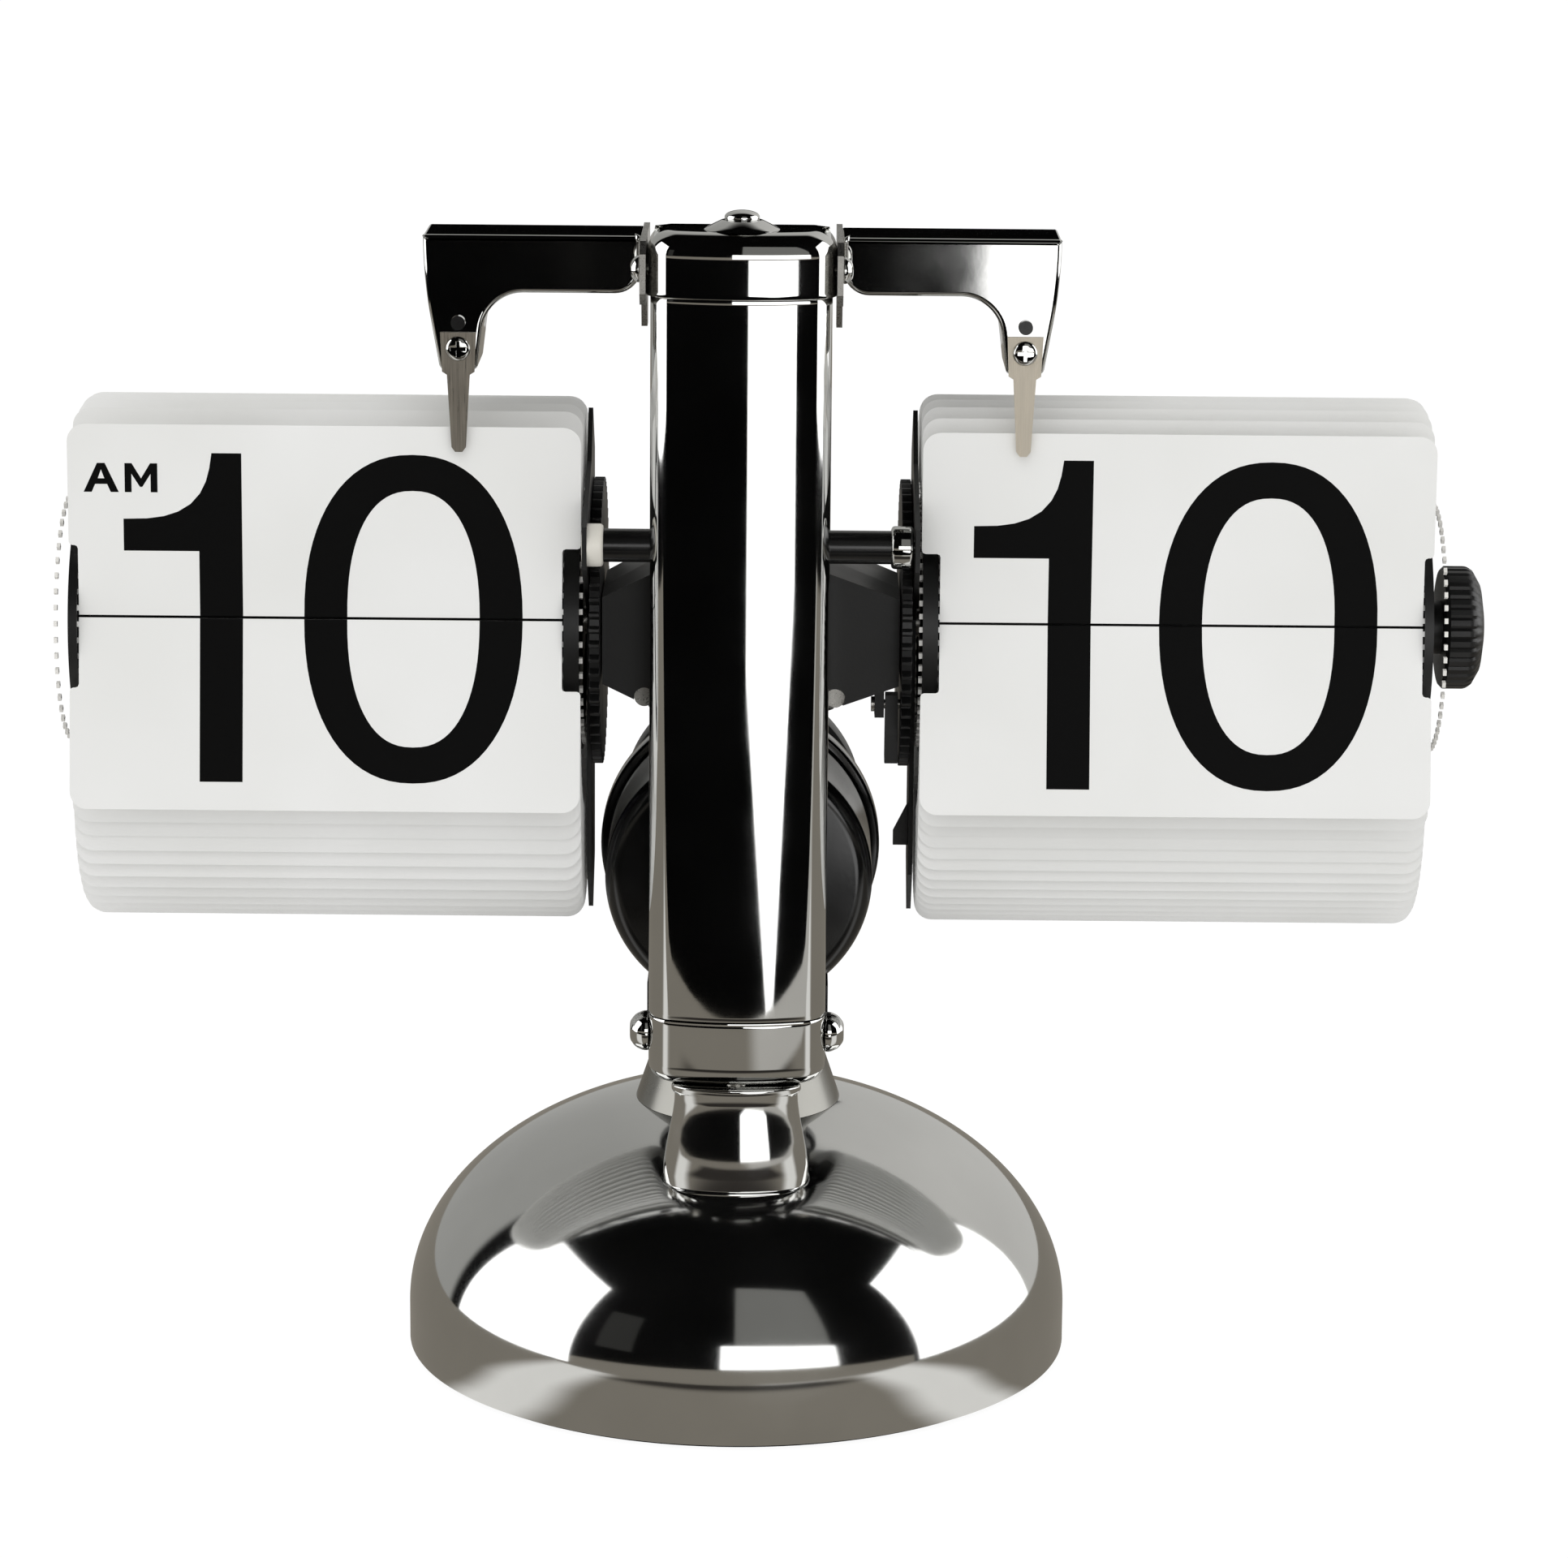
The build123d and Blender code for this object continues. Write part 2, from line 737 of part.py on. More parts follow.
def half_pitch_height(count):
    """Distance from the ears to the shown split line."""
    return ear_circle_radius * math.sin(math.radians(leaf_pitch(count) / 2)) - split_half_gap


def leaf_end(inset, ear_in, root):
    """Points up one end of a leaf, as distance in from the end and height above the ears."""
    points = [(ear_in, -ear_half_width), (ear_in, ear_half_width), (inset, ear_half_width)]
    points += [(inset, notch_length), (0, notch_length)]
    if root > ear_half_width:
        points = [(inset, -root), (inset, -ear_half_width)] + points
    return points


def leaf(reel, angle, lean, fallen, root=ear_half_width, rounded=False):
    """One leaf: a thin card with a notch and an ear at each end of its hinge edge."""
    near = reel.inner_edge
    far = reel.inner_edge + leaf_width
    disc_face = reel.inner_disc[1] - near
    near_end = leaf_end(disc_face + disc_leaf_clearance, disc_face - ear_depth, root)
    far_end = leaf_end(far - reel.outer_disc[0] + disc_leaf_clearance, far - reel.outer_disc[0] - ear_depth, root)
    points = [(near + x, v) for x, v in near_end]
    if rounded:
        points += [(near, leaf_length), (far, leaf_length)]
    else:
        points += [(near, leaf_length - leaf_chamfer), (near + leaf_chamfer, leaf_length)]
        points += [(far - leaf_chamfer, leaf_length), (far, leaf_length - leaf_chamfer)]
    points += [(far - x, v) for x, v in reversed(far_end)]
    face = make_face(Polyline(*points, close=True))
    if rounded:
        tips = [v for v in face.vertices() if v.Y > leaf_length - 0.01]
        face = fillet(tips, leaf_corner_radius)
    if reel.side < 0:
        face = mirror(face, Plane.YZ)
    y, z = ear_centre(angle)
    e = leaf_direction(lean, fallen)
    plane = Plane(origin=(0, y, z), x_dir=(1, 0, 0), z_dir=(0, -e[2], e[1]))
    return extrude(plane * face, amount=leaf_thickness / 2, both=True)


class Reel:
    """One reel of leaves on its discs, with the sizes that place it."""

    def __init__(self, name, side, inner_edge, count):
        self.name = name
        self.side = side
        self.inner_edge = inner_edge
        self.count = count
        start = inner_edge + inner_disc_inset
        self.inner_disc = (start, start + inner_disc_thickness)
        start = inner_edge + leaf_width - outer_disc_inset
        self.outer_disc = (start, start + outer_disc_thickness)
        plate_out = inner_edge - plate_gap
        self.plate = (plate_out - side_plate_thickness, plate_out)
        gear_out = self.plate[0] - gear_to_plate_gap
        self.gear = (gear_out - gear_thickness, gear_out)
        self.wing_end = self.gear[0] - wing_end_gap


def reel_disc(reel, span, groove_inside):
    """Leaf disc with a ring groove for the ears in its leaf side."""
    x0, x1 = span
    disc = cylinder_x(disc_rim_radius, x0, x1, 0, axis_z)
    g0, g1 = (x1 - ear_groove_depth, x1 + 1) if groove_inside else (x0 - 1, x0 + ear_groove_depth)
    groove = cylinder_x(ear_circle_radius + ear_groove_half_width, g0, g1, 0, axis_z)
    groove -= cylinder_x(ear_circle_radius - ear_groove_half_width, g0 - 1, g1 + 1, 0, axis_z)
    disc -= groove
    disc -= cylinder_x(axle_radius, x0 - 1, x1 + 1, 0, axis_z)
    return mirror_x(disc, reel.side)


def ear_tips(reel):
    """Ends of the ears, which stand out of the outer faces of both discs."""
    tips = []
    half = ear_tip_width / 2
    pitch = leaf_pitch(reel.count)
    start = split_angle() + pitch / 2
    spans = [
        (reel.inner_disc[0] - ear_tip_height, reel.inner_disc[0]),
        (reel.outer_disc[1], reel.outer_disc[1] + ear_tip_height),
    ]
    for x0, x1 in spans:
        tip = block(x0, x1, -half, half, -half, half)
        for index in range(reel.count):
            angle = start + index * pitch
            y, z = ear_centre(angle)
            tips.append(mirror_x(Pos(0, y, z) * Rot(-angle, 0, 0) * tip, reel.side))
    return tips


def tooth_ring(teeth, thickness, phase):
    """Spur gear blank with trapezoid teeth, centred on the X axis from x = 0."""
    pitch_radius = gear_module * teeth / 2
    rings = [
        (pitch_radius - tooth_dedendum * gear_module, -tooth_root_half),
        (pitch_radius + tooth_addendum * gear_module, -tooth_tip_half),
        (pitch_radius + tooth_addendum * gear_module, tooth_tip_half),
        (pitch_radius - tooth_dedendum * gear_module, tooth_root_half),
    ]
    points = []
    for index in range(teeth):
        centre = math.radians(phase + index * 360 / teeth)
        for radius, across in rings:
            a = centre + across / radius
            points.append((radius * math.cos(a), radius * math.sin(a)))
    return side_outline(points, 0, thickness)


def reel_gear(reel):
    x0, x1 = reel.gear
    phase = pinion_angle + 180 / gear_teeth
    gear = Pos(x0, 0, axis_z) * tooth_ring(gear_teeth, x1 - x0, phase)
    gear -= cylinder_x(axle_radius, x0 - 1, x1 + 1, 0, axis_z)
    return mirror_x(gear, reel.side)


def pinion_place():
    distance = gear_module * (gear_teeth + pinion_teeth) / 2
    a = math.radians(pinion_angle)
    return distance * math.cos(a), axis_z + distance * math.sin(a)


def drive_pinion(reel):
    y, z = pinion_place()
    x0, x1 = reel.gear
    pinion = Pos(x0, y, z) * tooth_ring(pinion_teeth, x1 - x0, pinion_angle + 180)
    shaft = cylinder_x(pinion_shaft_radius, gearbox_half_width - bush_overlap, x1 + 0.5, y, z)
    return pinion + shaft


def reel_axle(reel):
    inner = gearbox_half_width - bush_overlap - 2
    last = reel.outer_disc[1] + (knob_gap + knob_length * 0.5 if reel.side > 0 else 0.4)
    return mirror_x(cylinder_x(axle_radius, inner, last, 0, axis_z), reel.side)


def reel_spool(reel):
    x0 = reel.inner_disc[1]
    x1 = reel.outer_disc[0]
    spool = cylinder_x(spool_radius, x0, x1, 0, axis_z)
    spool -= cylinder_x(axle_radius, x0 - 1, x1 + 1, 0, axis_z)
    return mirror_x(spool, reel.side)


def flip_leaf(reel):
    angle, lean = waiting_places(reel.count)[0]
    return leaf(reel, angle, lean, False, half_pitch_height(reel.count), True)


def lower_leaf(reel):
    angle, lean = fallen_places(reel.count)[0]
    return leaf(reel, angle, lean, True, half_pitch_height(reel.count), True)


def waiting_leaves(reel):
    return [leaf(reel, a, lean, False) for a, lean in waiting_places(reel.count)[1:]]


def fallen_leaves(reel):
    return [leaf(reel, a, lean, True) for a, lean in fallen_places(reel.count)[1:]]


def side_plate(reel):
    """Plate beside the leaves that carries the tie rod's end."""
    y1 = side_plate_half_depth
    points = [
        (tie_rod_y - 3.6, tie_rod_z + 3.6), (tie_rod_y - 3.6, tie_rod_z - 3.6), (-y1, axis_z + 2),
        (-y1, side_plate_bottom_z + 8), (0, side_plate_bottom_z), (y1, side_plate_bottom_z + 8),
        (y1, side_plate_top_z - 8), (0, side_plate_top_z), (-y1, side_plate_top_z - 8),
    ]
    x0, x1 = reel.plate
    plate = side_outline(points, x0, x1)
    plate -= cylinder_x(axle_radius + side_plate_axle_clearance, x0 - 1, x1 + 1, 0, axis_z)
    plate -= cylinder_x(tie_rod_bolt_radius + plug_clearance, x0 - 1, x1 + 1, tie_rod_y, tie_rod_z)
    if reel.side > 0:
        plate += stop_tab(reel)
    return mirror_x(plate, reel.side)


def tie_rod(reels):
    ends = [reel.side * (reel.plate[0] - tie_nut_length) for reel in reels]
    tips = [reel.side * reel.plate[1] for reel in reels]
    rod = cylinder_x(tie_rod_radius, min(ends), max(ends), tie_rod_y, tie_rod_z)
    return rod + cylinder_x(tie_rod_bolt_radius, min(tips), max(tips), tie_rod_y, tie_rod_z)


def tie_rod_nuts(reels):
    nuts = []
    for reel in reels:
        x1 = reel.plate[0]
        nut = cylinder_x(tie_nut_radius, x1 - tie_nut_length, x1, tie_rod_y, tie_rod_z)
        nut -= cylinder_x(tie_rod_bolt_radius + plug_clearance, 0, 60, tie_rod_y, tie_rod_z)
        nuts.append(mirror_x(nut, reel.side))
    return nuts


def stop_tab(reel):
    """Small bent tab on the inner face of the right side plate."""
    x1 = reel.plate[0] + side_plate_thickness / 2
    top = stop_tab_z + stop_tab_height / 2
    bottom = stop_tab_z - stop_tab_height / 2
    tip = reel.plate[0] - stop_tab_width
    points = [(x1, top), (x1, bottom), (tip, bottom), (tip, bottom + 2.4)]
    return front_outline(points, stop_tab_y, stop_tab_y + stop_tab_thickness)


def trip_lever(reel):
    """Lever under the gearbox nose that is tripped once an hour."""
    x1 = reel.wing_end
    x0 = x1 - lever_thickness
    y, z = lever_pivot_y, lever_pivot_z
    points = [(y - 1.6, z + 1.8), (y + 1.6, z + 1.8), (y + 2.2, z - 4), (y + 3.2, z - lever_length + 1)]
    points += [(y + 1.0, z - lever_length), (y - 2.4, z - lever_length + 0.6), (y - 2.2, z - 5)]
    lever = side_outline(points, x0, x1)
    return lever - cylinder_x(lever_pin_radius + axle_clearance, x0 - 1, x1 + 1, y, z)


def lever_lug_span(reel):
    x1 = reel.wing_end - lever_thickness - lever_side_gap
    return x1 - lever_lug_thickness, x1


def lever_pin(reel):
    x0 = lever_lug_span(reel)[0]
    pin = cylinder_x(lever_pin_radius, x0, reel.wing_end + 0.3, lever_pivot_y, lever_pivot_z)
    head = cylinder_x(lever_pin_radius + 0.5, x0 - 0.6, x0, lever_pivot_y, lever_pivot_z)
    return pin + head


def gearbox_wing(reel):
    """Nose that carries the reel's axle and narrows towards it, above and below."""
    low, high = gearbox_nose_half_height, gearbox_half_height
    y0, ym, y1 = gearbox_front_y, gearbox_chamfer_y, wing_back_y
    edge = high - gearbox_front_step
    root = [(y0, -edge), (ym, -high), (y1, -high), (y1, high), (ym, high), (y0, edge)]
    nose = [(y0, -low), (ym, -low - 0.3), (y1, -low - 0.3), (y1, low + 0.3), (ym, low + 0.3), (y0, low)]
    faces = []
    for x, outline in ((gearbox_half_width - 2, root), (reel.wing_end, nose)):
        points = [(y, z + axis_z) for y, z in outline]
        faces.append(Plane.YZ.offset(x) * make_face(Polyline(*points, close=True)))
    return mirror_x(loft(faces, ruled=True), reel.side)


def gearbox_front_shell(reels):
    core = block(-gearbox_half_width, gearbox_half_width, gearbox_front_y, gearbox_split_y,
                 gearbox_bottom_z, gearbox_top_z)
    for reel in reels:
        core += gearbox_wing(reel)
    lug = reels[1]
    x0, x1 = lever_lug_span(lug)
    y = lever_pivot_y
    core += block(x0, x1, y - 2, y + 2, lever_pivot_z - 2, axis_z - 4)
    w = gearbox_wall
    core -= block(-gearbox_half_width + w, gearbox_half_width - w, gearbox_front_y + w, gearbox_split_y + 1,
                  gearbox_bottom_z + w, gearbox_top_z - w)
    for reel in reels:
        core -= mirror_x(cylinder_x(bush_radius, 0, 60, 0, axis_z), reel.side)
        x, z = reel.side * gearbox_screw_x, gearbox_screw_z
        core -= cylinder_y(gearbox_bolt_radius + plug_clearance, gearbox_front_y, 0, x, z)
        core -= cylinder_y(gearbox_screw_radius + plug_clearance, gearbox_front_y - 5, gearbox_seat_y, x, z)
    core -= cylinder_x(lever_pin_radius + plug_clearance, x0 - 1, x1 + 1, lever_pivot_y, lever_pivot_z)
    return core


def axle_bushes(reels):
    bushes = []
    for reel in reels:
        start = gearbox_half_width - bush_overlap
        bush = cylinder_x(bush_radius - plug_clearance, start, reel.wing_end, 0, axis_z)
        bush -= cylinder_x(axle_radius + axle_clearance, 0, 60, 0, axis_z)
        bushes.append(mirror_x(bush, reel.side))
    return bushes


def gearbox_rear_shell():
    core = block(-gearbox_half_width, gearbox_half_width, gearbox_split_y, gearbox_back_y,
                 gearbox_bottom_z, gearbox_top_z)
    core = fillet(core.edges().filter_by(Axis.X).group_by(Axis.Y)[-1], 3.0)
    w = gearbox_wall
    core -= block(-gearbox_half_width + w, gearbox_half_width - w, gearbox_split_y - 1, gearbox_back_y - w,
                  gearbox_bottom_z + w, gearbox_top_z - w)
    y, z = pinion_place()
    core -= cylinder_x(pinion_shaft_radius + pinion_clearance, 0, 60, y, z)
    return core


def gearbox_screws():
    screws = []
    for side in (-1, 1):
        x, z = side * gearbox_screw_x, gearbox_screw_z
        y0 = gearbox_seat_y
        head = cylinder_y(gearbox_screw_radius, y0 - gearbox_screw_height, y0, x, z)
        screws.append(head + cylinder_y(gearbox_bolt_radius, y0, y0 + gearbox_bolt_length, x, z))
    return screws


def drive_motor():
    """Small clock motor held between the gearbox walls, up against the front and the top."""
    half = gearbox_half_width - gearbox_wall
    y = gearbox_front_y + gearbox_wall + motor_radius
    z = gearbox_top_z - gearbox_wall - motor_radius
    return cylinder_x(motor_radius, -half, half, y, z)


def drum_outline():
    face = [(0, drum_front_y), (drum_radius - drum_edge_radius, drum_front_y)]
    for angle in (30, 60, 90):
        a = math.radians(angle)
        r = drum_radius - drum_edge_radius * (1 - math.sin(a))
        face.append((r, drum_front_y + drum_edge_radius * (1 - math.cos(a))))
    face += [(drum_radius, drum_step_y), (drum_flange_radius, drum_step_y)]
    face += [(drum_flange_radius, drum_flange_back_y), (drum_tube_radius, drum_flange_back_y)]
    face += [(drum_tube_radius, drum_back_y), (0, drum_back_y)]
    return face


def battery_drum():
    """Round battery housing behind the pillar, open at the back."""
    profile = Plane.XY * make_face(Polyline(*drum_outline(), close=True))
    drum = Pos(0, 0, drum_z) * revolve(profile, Axis.Y)
    drum -= cylinder_y(cell_radius + cell_clearance, cell_front_y - contact_thickness, drum_back_y + 1, 0, drum_z)
    return drum


def battery_cell():
    y0 = cell_front_y
    y1 = y0 + cell_length
    body = cylinder_y(cell_radius, y0, y1 - cell_button_height, 0, drum_z)
    return body + cylinder_y(cell_button_radius, y1 - cell_button_height, y1, 0, drum_z)


def battery_contacts():
    front = cylinder_y(contact_radius, cell_front_y - contact_thickness, cell_front_y, 0, drum_z)
    back_y = cell_front_y + cell_length
    return [front, cylinder_y(contact_radius, back_y, back_y + contact_thickness, 0, drum_z)]


def battery_cover():
    """Round cover that pulls off the back of the drum, with a grip bar across it."""
    inner_back = cell_front_y + cell_length + contact_thickness + cover_inside_gap
    y1 = inner_back + cover_thickness
    cover = cylinder_y(cover_radius, drum_back_y - cover_skirt_length, y1, 0, drum_z)
    cover = fillet(cover.edges().group_by(Axis.Y)[-1], 1.2)
    skirt_end = drum_back_y + running_gap
    cover -= cylinder_y(drum_tube_radius + cover_clearance, 0, skirt_end, 0, drum_z)
    cover -= cylinder_y(cell_radius + cell_clearance, drum_back_y, inner_back, 0, drum_z)
    grip = block(-cover_radius * 0.7, cover_radius * 0.7, y1 - 0.2, y1 + cover_grip_height,
                 drum_z - cover_grip_width / 2, drum_z + cover_grip_width / 2)
    return cover + grip


def chassis_foot():
    """Black foot that ties the crown post, the drum and the pillar together."""
    foot = block(-chassis_half_width, chassis_half_width, pillar_back_y, chassis_back_y,
                 crown_top_z, chassis_foot_top_z)
    foot = fillet(foot.edges().filter_by(Axis.Y).group_by(Axis.Z)[0], 2.0)
    foot -= cylinder_y(drum_radius + plug_clearance, drum_front_y - 10, drum_step_y + 10, 0, drum_z)
    foot -= cylinder_z(crown_bolt_radius + plug_clearance, crown_top_z - 1, crown_bolt_top_z + 1)
    return foot


def pillar_spine():
    """Strip behind the pillar that the gearbox and drum bolt to."""
    bottom = chassis_foot_top_z + running_gap
    return block(-spine_half_width, spine_half_width, pillar_back_y, gearbox_front_y, bottom, spine_top_z)


def setting_knob(reel):
    x0 = reel.outer_disc[1] + knob_gap
    x1 = x0 + knob_length
    points = []
    for index in range(knob_flutes):
        for share, radius in ((0.0, knob_radius), (0.45, knob_radius), (0.7, knob_radius - knob_flute_depth)):
            a = math.radians((index + share) * 360 / knob_flutes)
            points.append((radius * math.cos(a), axis_z + radius * math.sin(a)))
    knob = side_outline(points, x0, x1)
    outline = [(0, x0 - 1), (knob_radius + 1, x0 - 1), (knob_radius + 1, x1 - knob_dome)]
    outline += [(knob_radius - 0.6, x1 - knob_dome), (knob_radius * 0.75, x1 - 0.8), (knob_radius * 0.4, x1)]
    outline += [(0, x1)]
    dome = Pos(0, 0, axis_z) * Rot(0, 90, 0) * turned(outline)
    knob &= dome
    collar = cylinder_x(axle_radius + 2.2, reel.outer_disc[1], x0, 0, axis_z)
    knob += collar
    knob -= cylinder_x(axle_radius, 0, x0 + knob_length * 0.5, 0, axis_z)
    return knob


def main():
    os.makedirs("parts", exist_ok=True)
    hour = Reel("hour", -1, hour_inner_edge, hour_leaf_count)
    minute = Reel("minute", 1, minute_inner_edge, minute_leaf_count)
    reels = (hour, minute)
    save("base_pad", base_pad())
    save("base_bottom_plate", base_bottom_plate())
    save("base_weight", base_weight())
    save("base_screws", base_screws())
    save("base_dome", base_dome())
    save("crown_post", crown_post())
    save("crown_bolt", crown_bolt())
    save("neck_post", neck_post())
    save("neck_bolt", neck_bolt())
    save("pillar_shell", pillar_shell())
    save("pillar_cup", pillar_cup())
    save("pillar_cap", pillar_cap())
    save("finial_washer", finial_washer())
    save("finial_screw", finial_screw())
    save("cup_side_nuts", cup_side_nuts())
    save("cap_side_screws", cap_side_screws())
    save("arm_brackets", [arm_bracket(-1), arm_bracket(1)])
    for name, side in (("left", -1), ("right", 1)):
        save(name + "_arm", arm(side))
        save(name + "_finger", finger(side))
    save("finger_screws", finger_screws())
    save("finger_pins", finger_pins())
    save("gearbox_front_shell", gearbox_front_shell(reels))
    save("gearbox_rear_shell", gearbox_rear_shell())
    save("gearbox_screws", gearbox_screws())
    save("axle_bushes", axle_bushes(reels))
    save("drive_motor", drive_motor())
    save("battery_drum", battery_drum())
    save("battery_cell", battery_cell())
    save("battery_contacts", battery_contacts())
    save("battery_cover", battery_cover())
    save("chassis_foot", chassis_foot())
    save("pillar_spine", pillar_spine())
    save("tie_rod", tie_rod(reels))
    save("tie_rod_nuts", tie_rod_nuts(reels))
    save("trip_lever", trip_lever(minute))
    save("lever_pin", lever_pin(minute))
    save("drive_pinion", drive_pinion(minute))
    save("setting_knob", setting_knob(minute))
    for reel in reels:
        save(reel.name + "_side_plate", side_plate(reel))
        save(reel.name + "_axle", reel_axle(reel))
        save(reel.name + "_spool", reel_spool(reel))
        save(reel.name + "_gear", reel_gear(reel))
        discs = [reel_disc(reel, reel.inner_disc, True), reel_disc(reel, reel.outer_disc, False)]
        save(reel.name + "_discs", discs)
        save(reel.name + "_ear_tips", ear_tips(reel))
        save(reel.name + "_flip_leaf", flip_leaf(reel))
        save(reel.name + "_lower_leaf", lower_leaf(reel))
        save(reel.name + "_waiting_leaves", waiting_leaves(reel))
        save(reel.name + "_fallen_leaves", fallen_leaves(reel))


main()
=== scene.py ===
import json
import math

import bmesh
import bpy
from mathutils import Matrix, Vector


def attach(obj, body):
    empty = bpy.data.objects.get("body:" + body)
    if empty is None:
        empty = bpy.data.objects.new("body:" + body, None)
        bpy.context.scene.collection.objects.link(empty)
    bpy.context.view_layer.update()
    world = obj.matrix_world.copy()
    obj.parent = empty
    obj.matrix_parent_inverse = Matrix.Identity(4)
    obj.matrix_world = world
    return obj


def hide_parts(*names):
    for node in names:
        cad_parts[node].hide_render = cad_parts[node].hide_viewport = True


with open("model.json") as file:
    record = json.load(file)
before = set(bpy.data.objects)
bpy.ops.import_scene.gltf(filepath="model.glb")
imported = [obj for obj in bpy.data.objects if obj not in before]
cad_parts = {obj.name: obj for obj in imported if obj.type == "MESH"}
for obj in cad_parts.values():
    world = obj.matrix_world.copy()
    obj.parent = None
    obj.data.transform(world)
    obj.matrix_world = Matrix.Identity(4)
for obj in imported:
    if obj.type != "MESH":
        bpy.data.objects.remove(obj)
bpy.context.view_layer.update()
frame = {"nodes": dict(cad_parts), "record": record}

bl_info = {
    "name": "Chrome Flip Clock",
    "version": (1, 0, 0),
    "blender": (4, 5, 0),
    "location": "3D View > Sidebar > Flip Clock",
    "description": "Dresses the flip clock's frame with chrome, plastic and printed leaves",
    "category": "Object",
}

MM = 0.001
RIGHT, LEFT = 1, -1

# Heights and places of the frame that the new pieces stand on, in millimetres
DOME_RADIUS = 58.0
DOME_FOOT = 0.8
DOME_WALL_TOP = 7.8
DOME_RISE = 39.0
CROWN_TOP = 58.0
NECK_Y = -31.4
CUP_BOTTOM = 56.2
PILLAR_BOTTOM = 67.8
PILLAR_TOP = 190.3
CAP_TOP = 201.0
PILLAR_FRONT = -35.2
PILLAR_BACK = -19.5
AXIS_Z = 130.0
EAR_CIRCLE = 21.0
EAR_HALF = 0.45
LEAF_THICKNESS = 0.2
LEAF_GAP = 0.03
LEAF_LENGTH = 31.2
LEAF_WIDTH = 86.1
NOTCH_LENGTH = 10.7
SPLIT_HEIGHT = 4.0
SPLIT_HALF_GAP = 0.22
FLIP_LEAN = 2.0
NEST_MARGIN = 0.4
DRUM_Z = 87.5
ARM_FRONT = -20.2
LEG_X = 47.2
FINGER_SCREW_Z = 179.9
ROD_Y = -25.5
ROD_Z = 147.8
SEAM = 0.06
HOLD = 0.9
INK_THICKNESS = 0.012

# Points nearer than this are one point, in millimetres
MERGE = 1e-4


# Small tools

def linear(code):
    """sRGB hex to the linear colour the shaders take."""
    parts = [int(code[i:i + 2], 16) / 255 for i in (1, 3, 5)]
    return tuple(c / 12.92 if c <= 0.04045 else ((c + 0.055) / 1.055) ** 2.4 for c in parts) + (1.0,)


def add_node(tree, kind, settings=None, links=None):
    """Add one shader node with its settings and links, and return it."""
    made = tree.nodes.new(kind)
    for key, value in (settings or {}).items():
        if isinstance(key, str) and hasattr(made, key):
            setattr(made, key, value)
        else:
            made.inputs[key].default_value = value
    for key, source in (links or {}).items():
        tree.links.new(source, made.inputs[key])
    return made


def dome_height(radius):
    """Height of the dome's surface at a distance from its axis."""
    share = max(0.0, 1 - (radius / DOME_RADIUS) ** 2)
    return DOME_WALL_TOP + DOME_RISE * math.sqrt(share)


def arc_points(centre, radii, start, end, count):
    """Points of an elliptical arc in a profile, both ends included."""
    points = []
    for i in range(count + 1):
        a = math.radians(start + (end - start) * i / count)
        points.append((centre[0] + radii[0] * math.cos(a), centre[1] + radii[1] * math.sin(a)))
    return points


def lathe(profile, steps=96, rounds=None):
    """Spin a profile of (radius, height) about Z. rounds gives corner radii by point index."""
    bm = bmesh.new()
    verts = [bm.verts.new((r, 0, h)) for r, h in profile]
    for a, b in zip(verts, verts[1:]):
        bm.edges.new((a, b))
    if profile[0][0] > MERGE:
        bm.edges.new((verts[-1], verts[0]))
    for index, (radius, segments) in (rounds or {}).items():
        bmesh.ops.bevel(bm, geom=[verts[index]], affect="VERTICES", offset=radius, segments=segments,
                        profile=0.5, material=-1)
    bmesh.ops.spin(bm, geom=bm.verts[:] + bm.edges[:], cent=(0, 0, 0), axis=(0, 0, 1), dvec=(0, 0, 0),
                   angle=math.tau, steps=steps, use_merge=True, use_duplicate=False)
    bmesh.ops.remove_doubles(bm, verts=bm.verts[:], dist=MERGE)
    bmesh.ops.recalc_face_normals(bm, faces=bm.faces[:])
    return bm


def outline_face(bm, points, axis="XZ", at=0.0):
    """One face from outline points, in the XZ, YZ or XY plane."""
    if axis == "XZ":
        verts = [bm.verts.new((a, at, b)) for a, b in points]
    elif axis == "YZ":
        verts = [bm.verts.new((at, a, b)) for a, b in points]
    else:
        verts = [bm.verts.new((a, b, at)) for a, b in points]
    return bm.faces.new(verts)


def round_corners(bm, corners):
    """Round vertices of a flat outline. corners is a list of (vertex, radius, segments)."""
    for vert, radius, segments in corners:
        bmesh.ops.bevel(bm, geom=[vert], affect="VERTICES", offset=radius, segments=segments, profile=0.5,
                        material=-1)


def push(bm, faces, shift):
    """Extrude faces by a vector and return the moved faces, closing the body."""
    made = bmesh.ops.extrude_face_region(bm, geom=faces)["geom"]
    moved = [v for v in made if isinstance(v, bmesh.types.BMVert)]
    bmesh.ops.translate(bm, verts=moved, vec=shift)
    bmesh.ops.recalc_face_normals(bm, faces=bm.faces[:])
    return [f for f in made if isinstance(f, bmesh.types.BMFace)]


def soften(bm, offset, segments=2, angle=30):
    """Small bevel on every edge sharper than angle."""
    bm.normal_update()
    sharp = [e for e in bm.edges if len(e.link_faces) == 2 and e.calc_face_angle(0) > math.radians(angle)]
    if sharp:
        bmesh.ops.bevel(bm, geom=sharp, affect="EDGES", offset=offset, segments=segments, profile=0.5,
                        material=-1, clamp_overlap=True)


def turn(bm, axis, degrees):
    """Rotate a body about an axis through the origin."""
    matrix = Matrix.Rotation(math.radians(degrees), 3, axis)
    bmesh.ops.rotate(bm, verts=bm.verts[:], cent=(0, 0, 0), matrix=matrix)


def shift(bm, x=0.0, y=0.0, z=0.0):
    """Move a body."""
    bmesh.ops.translate(bm, verts=bm.verts[:], vec=(x, y, z))


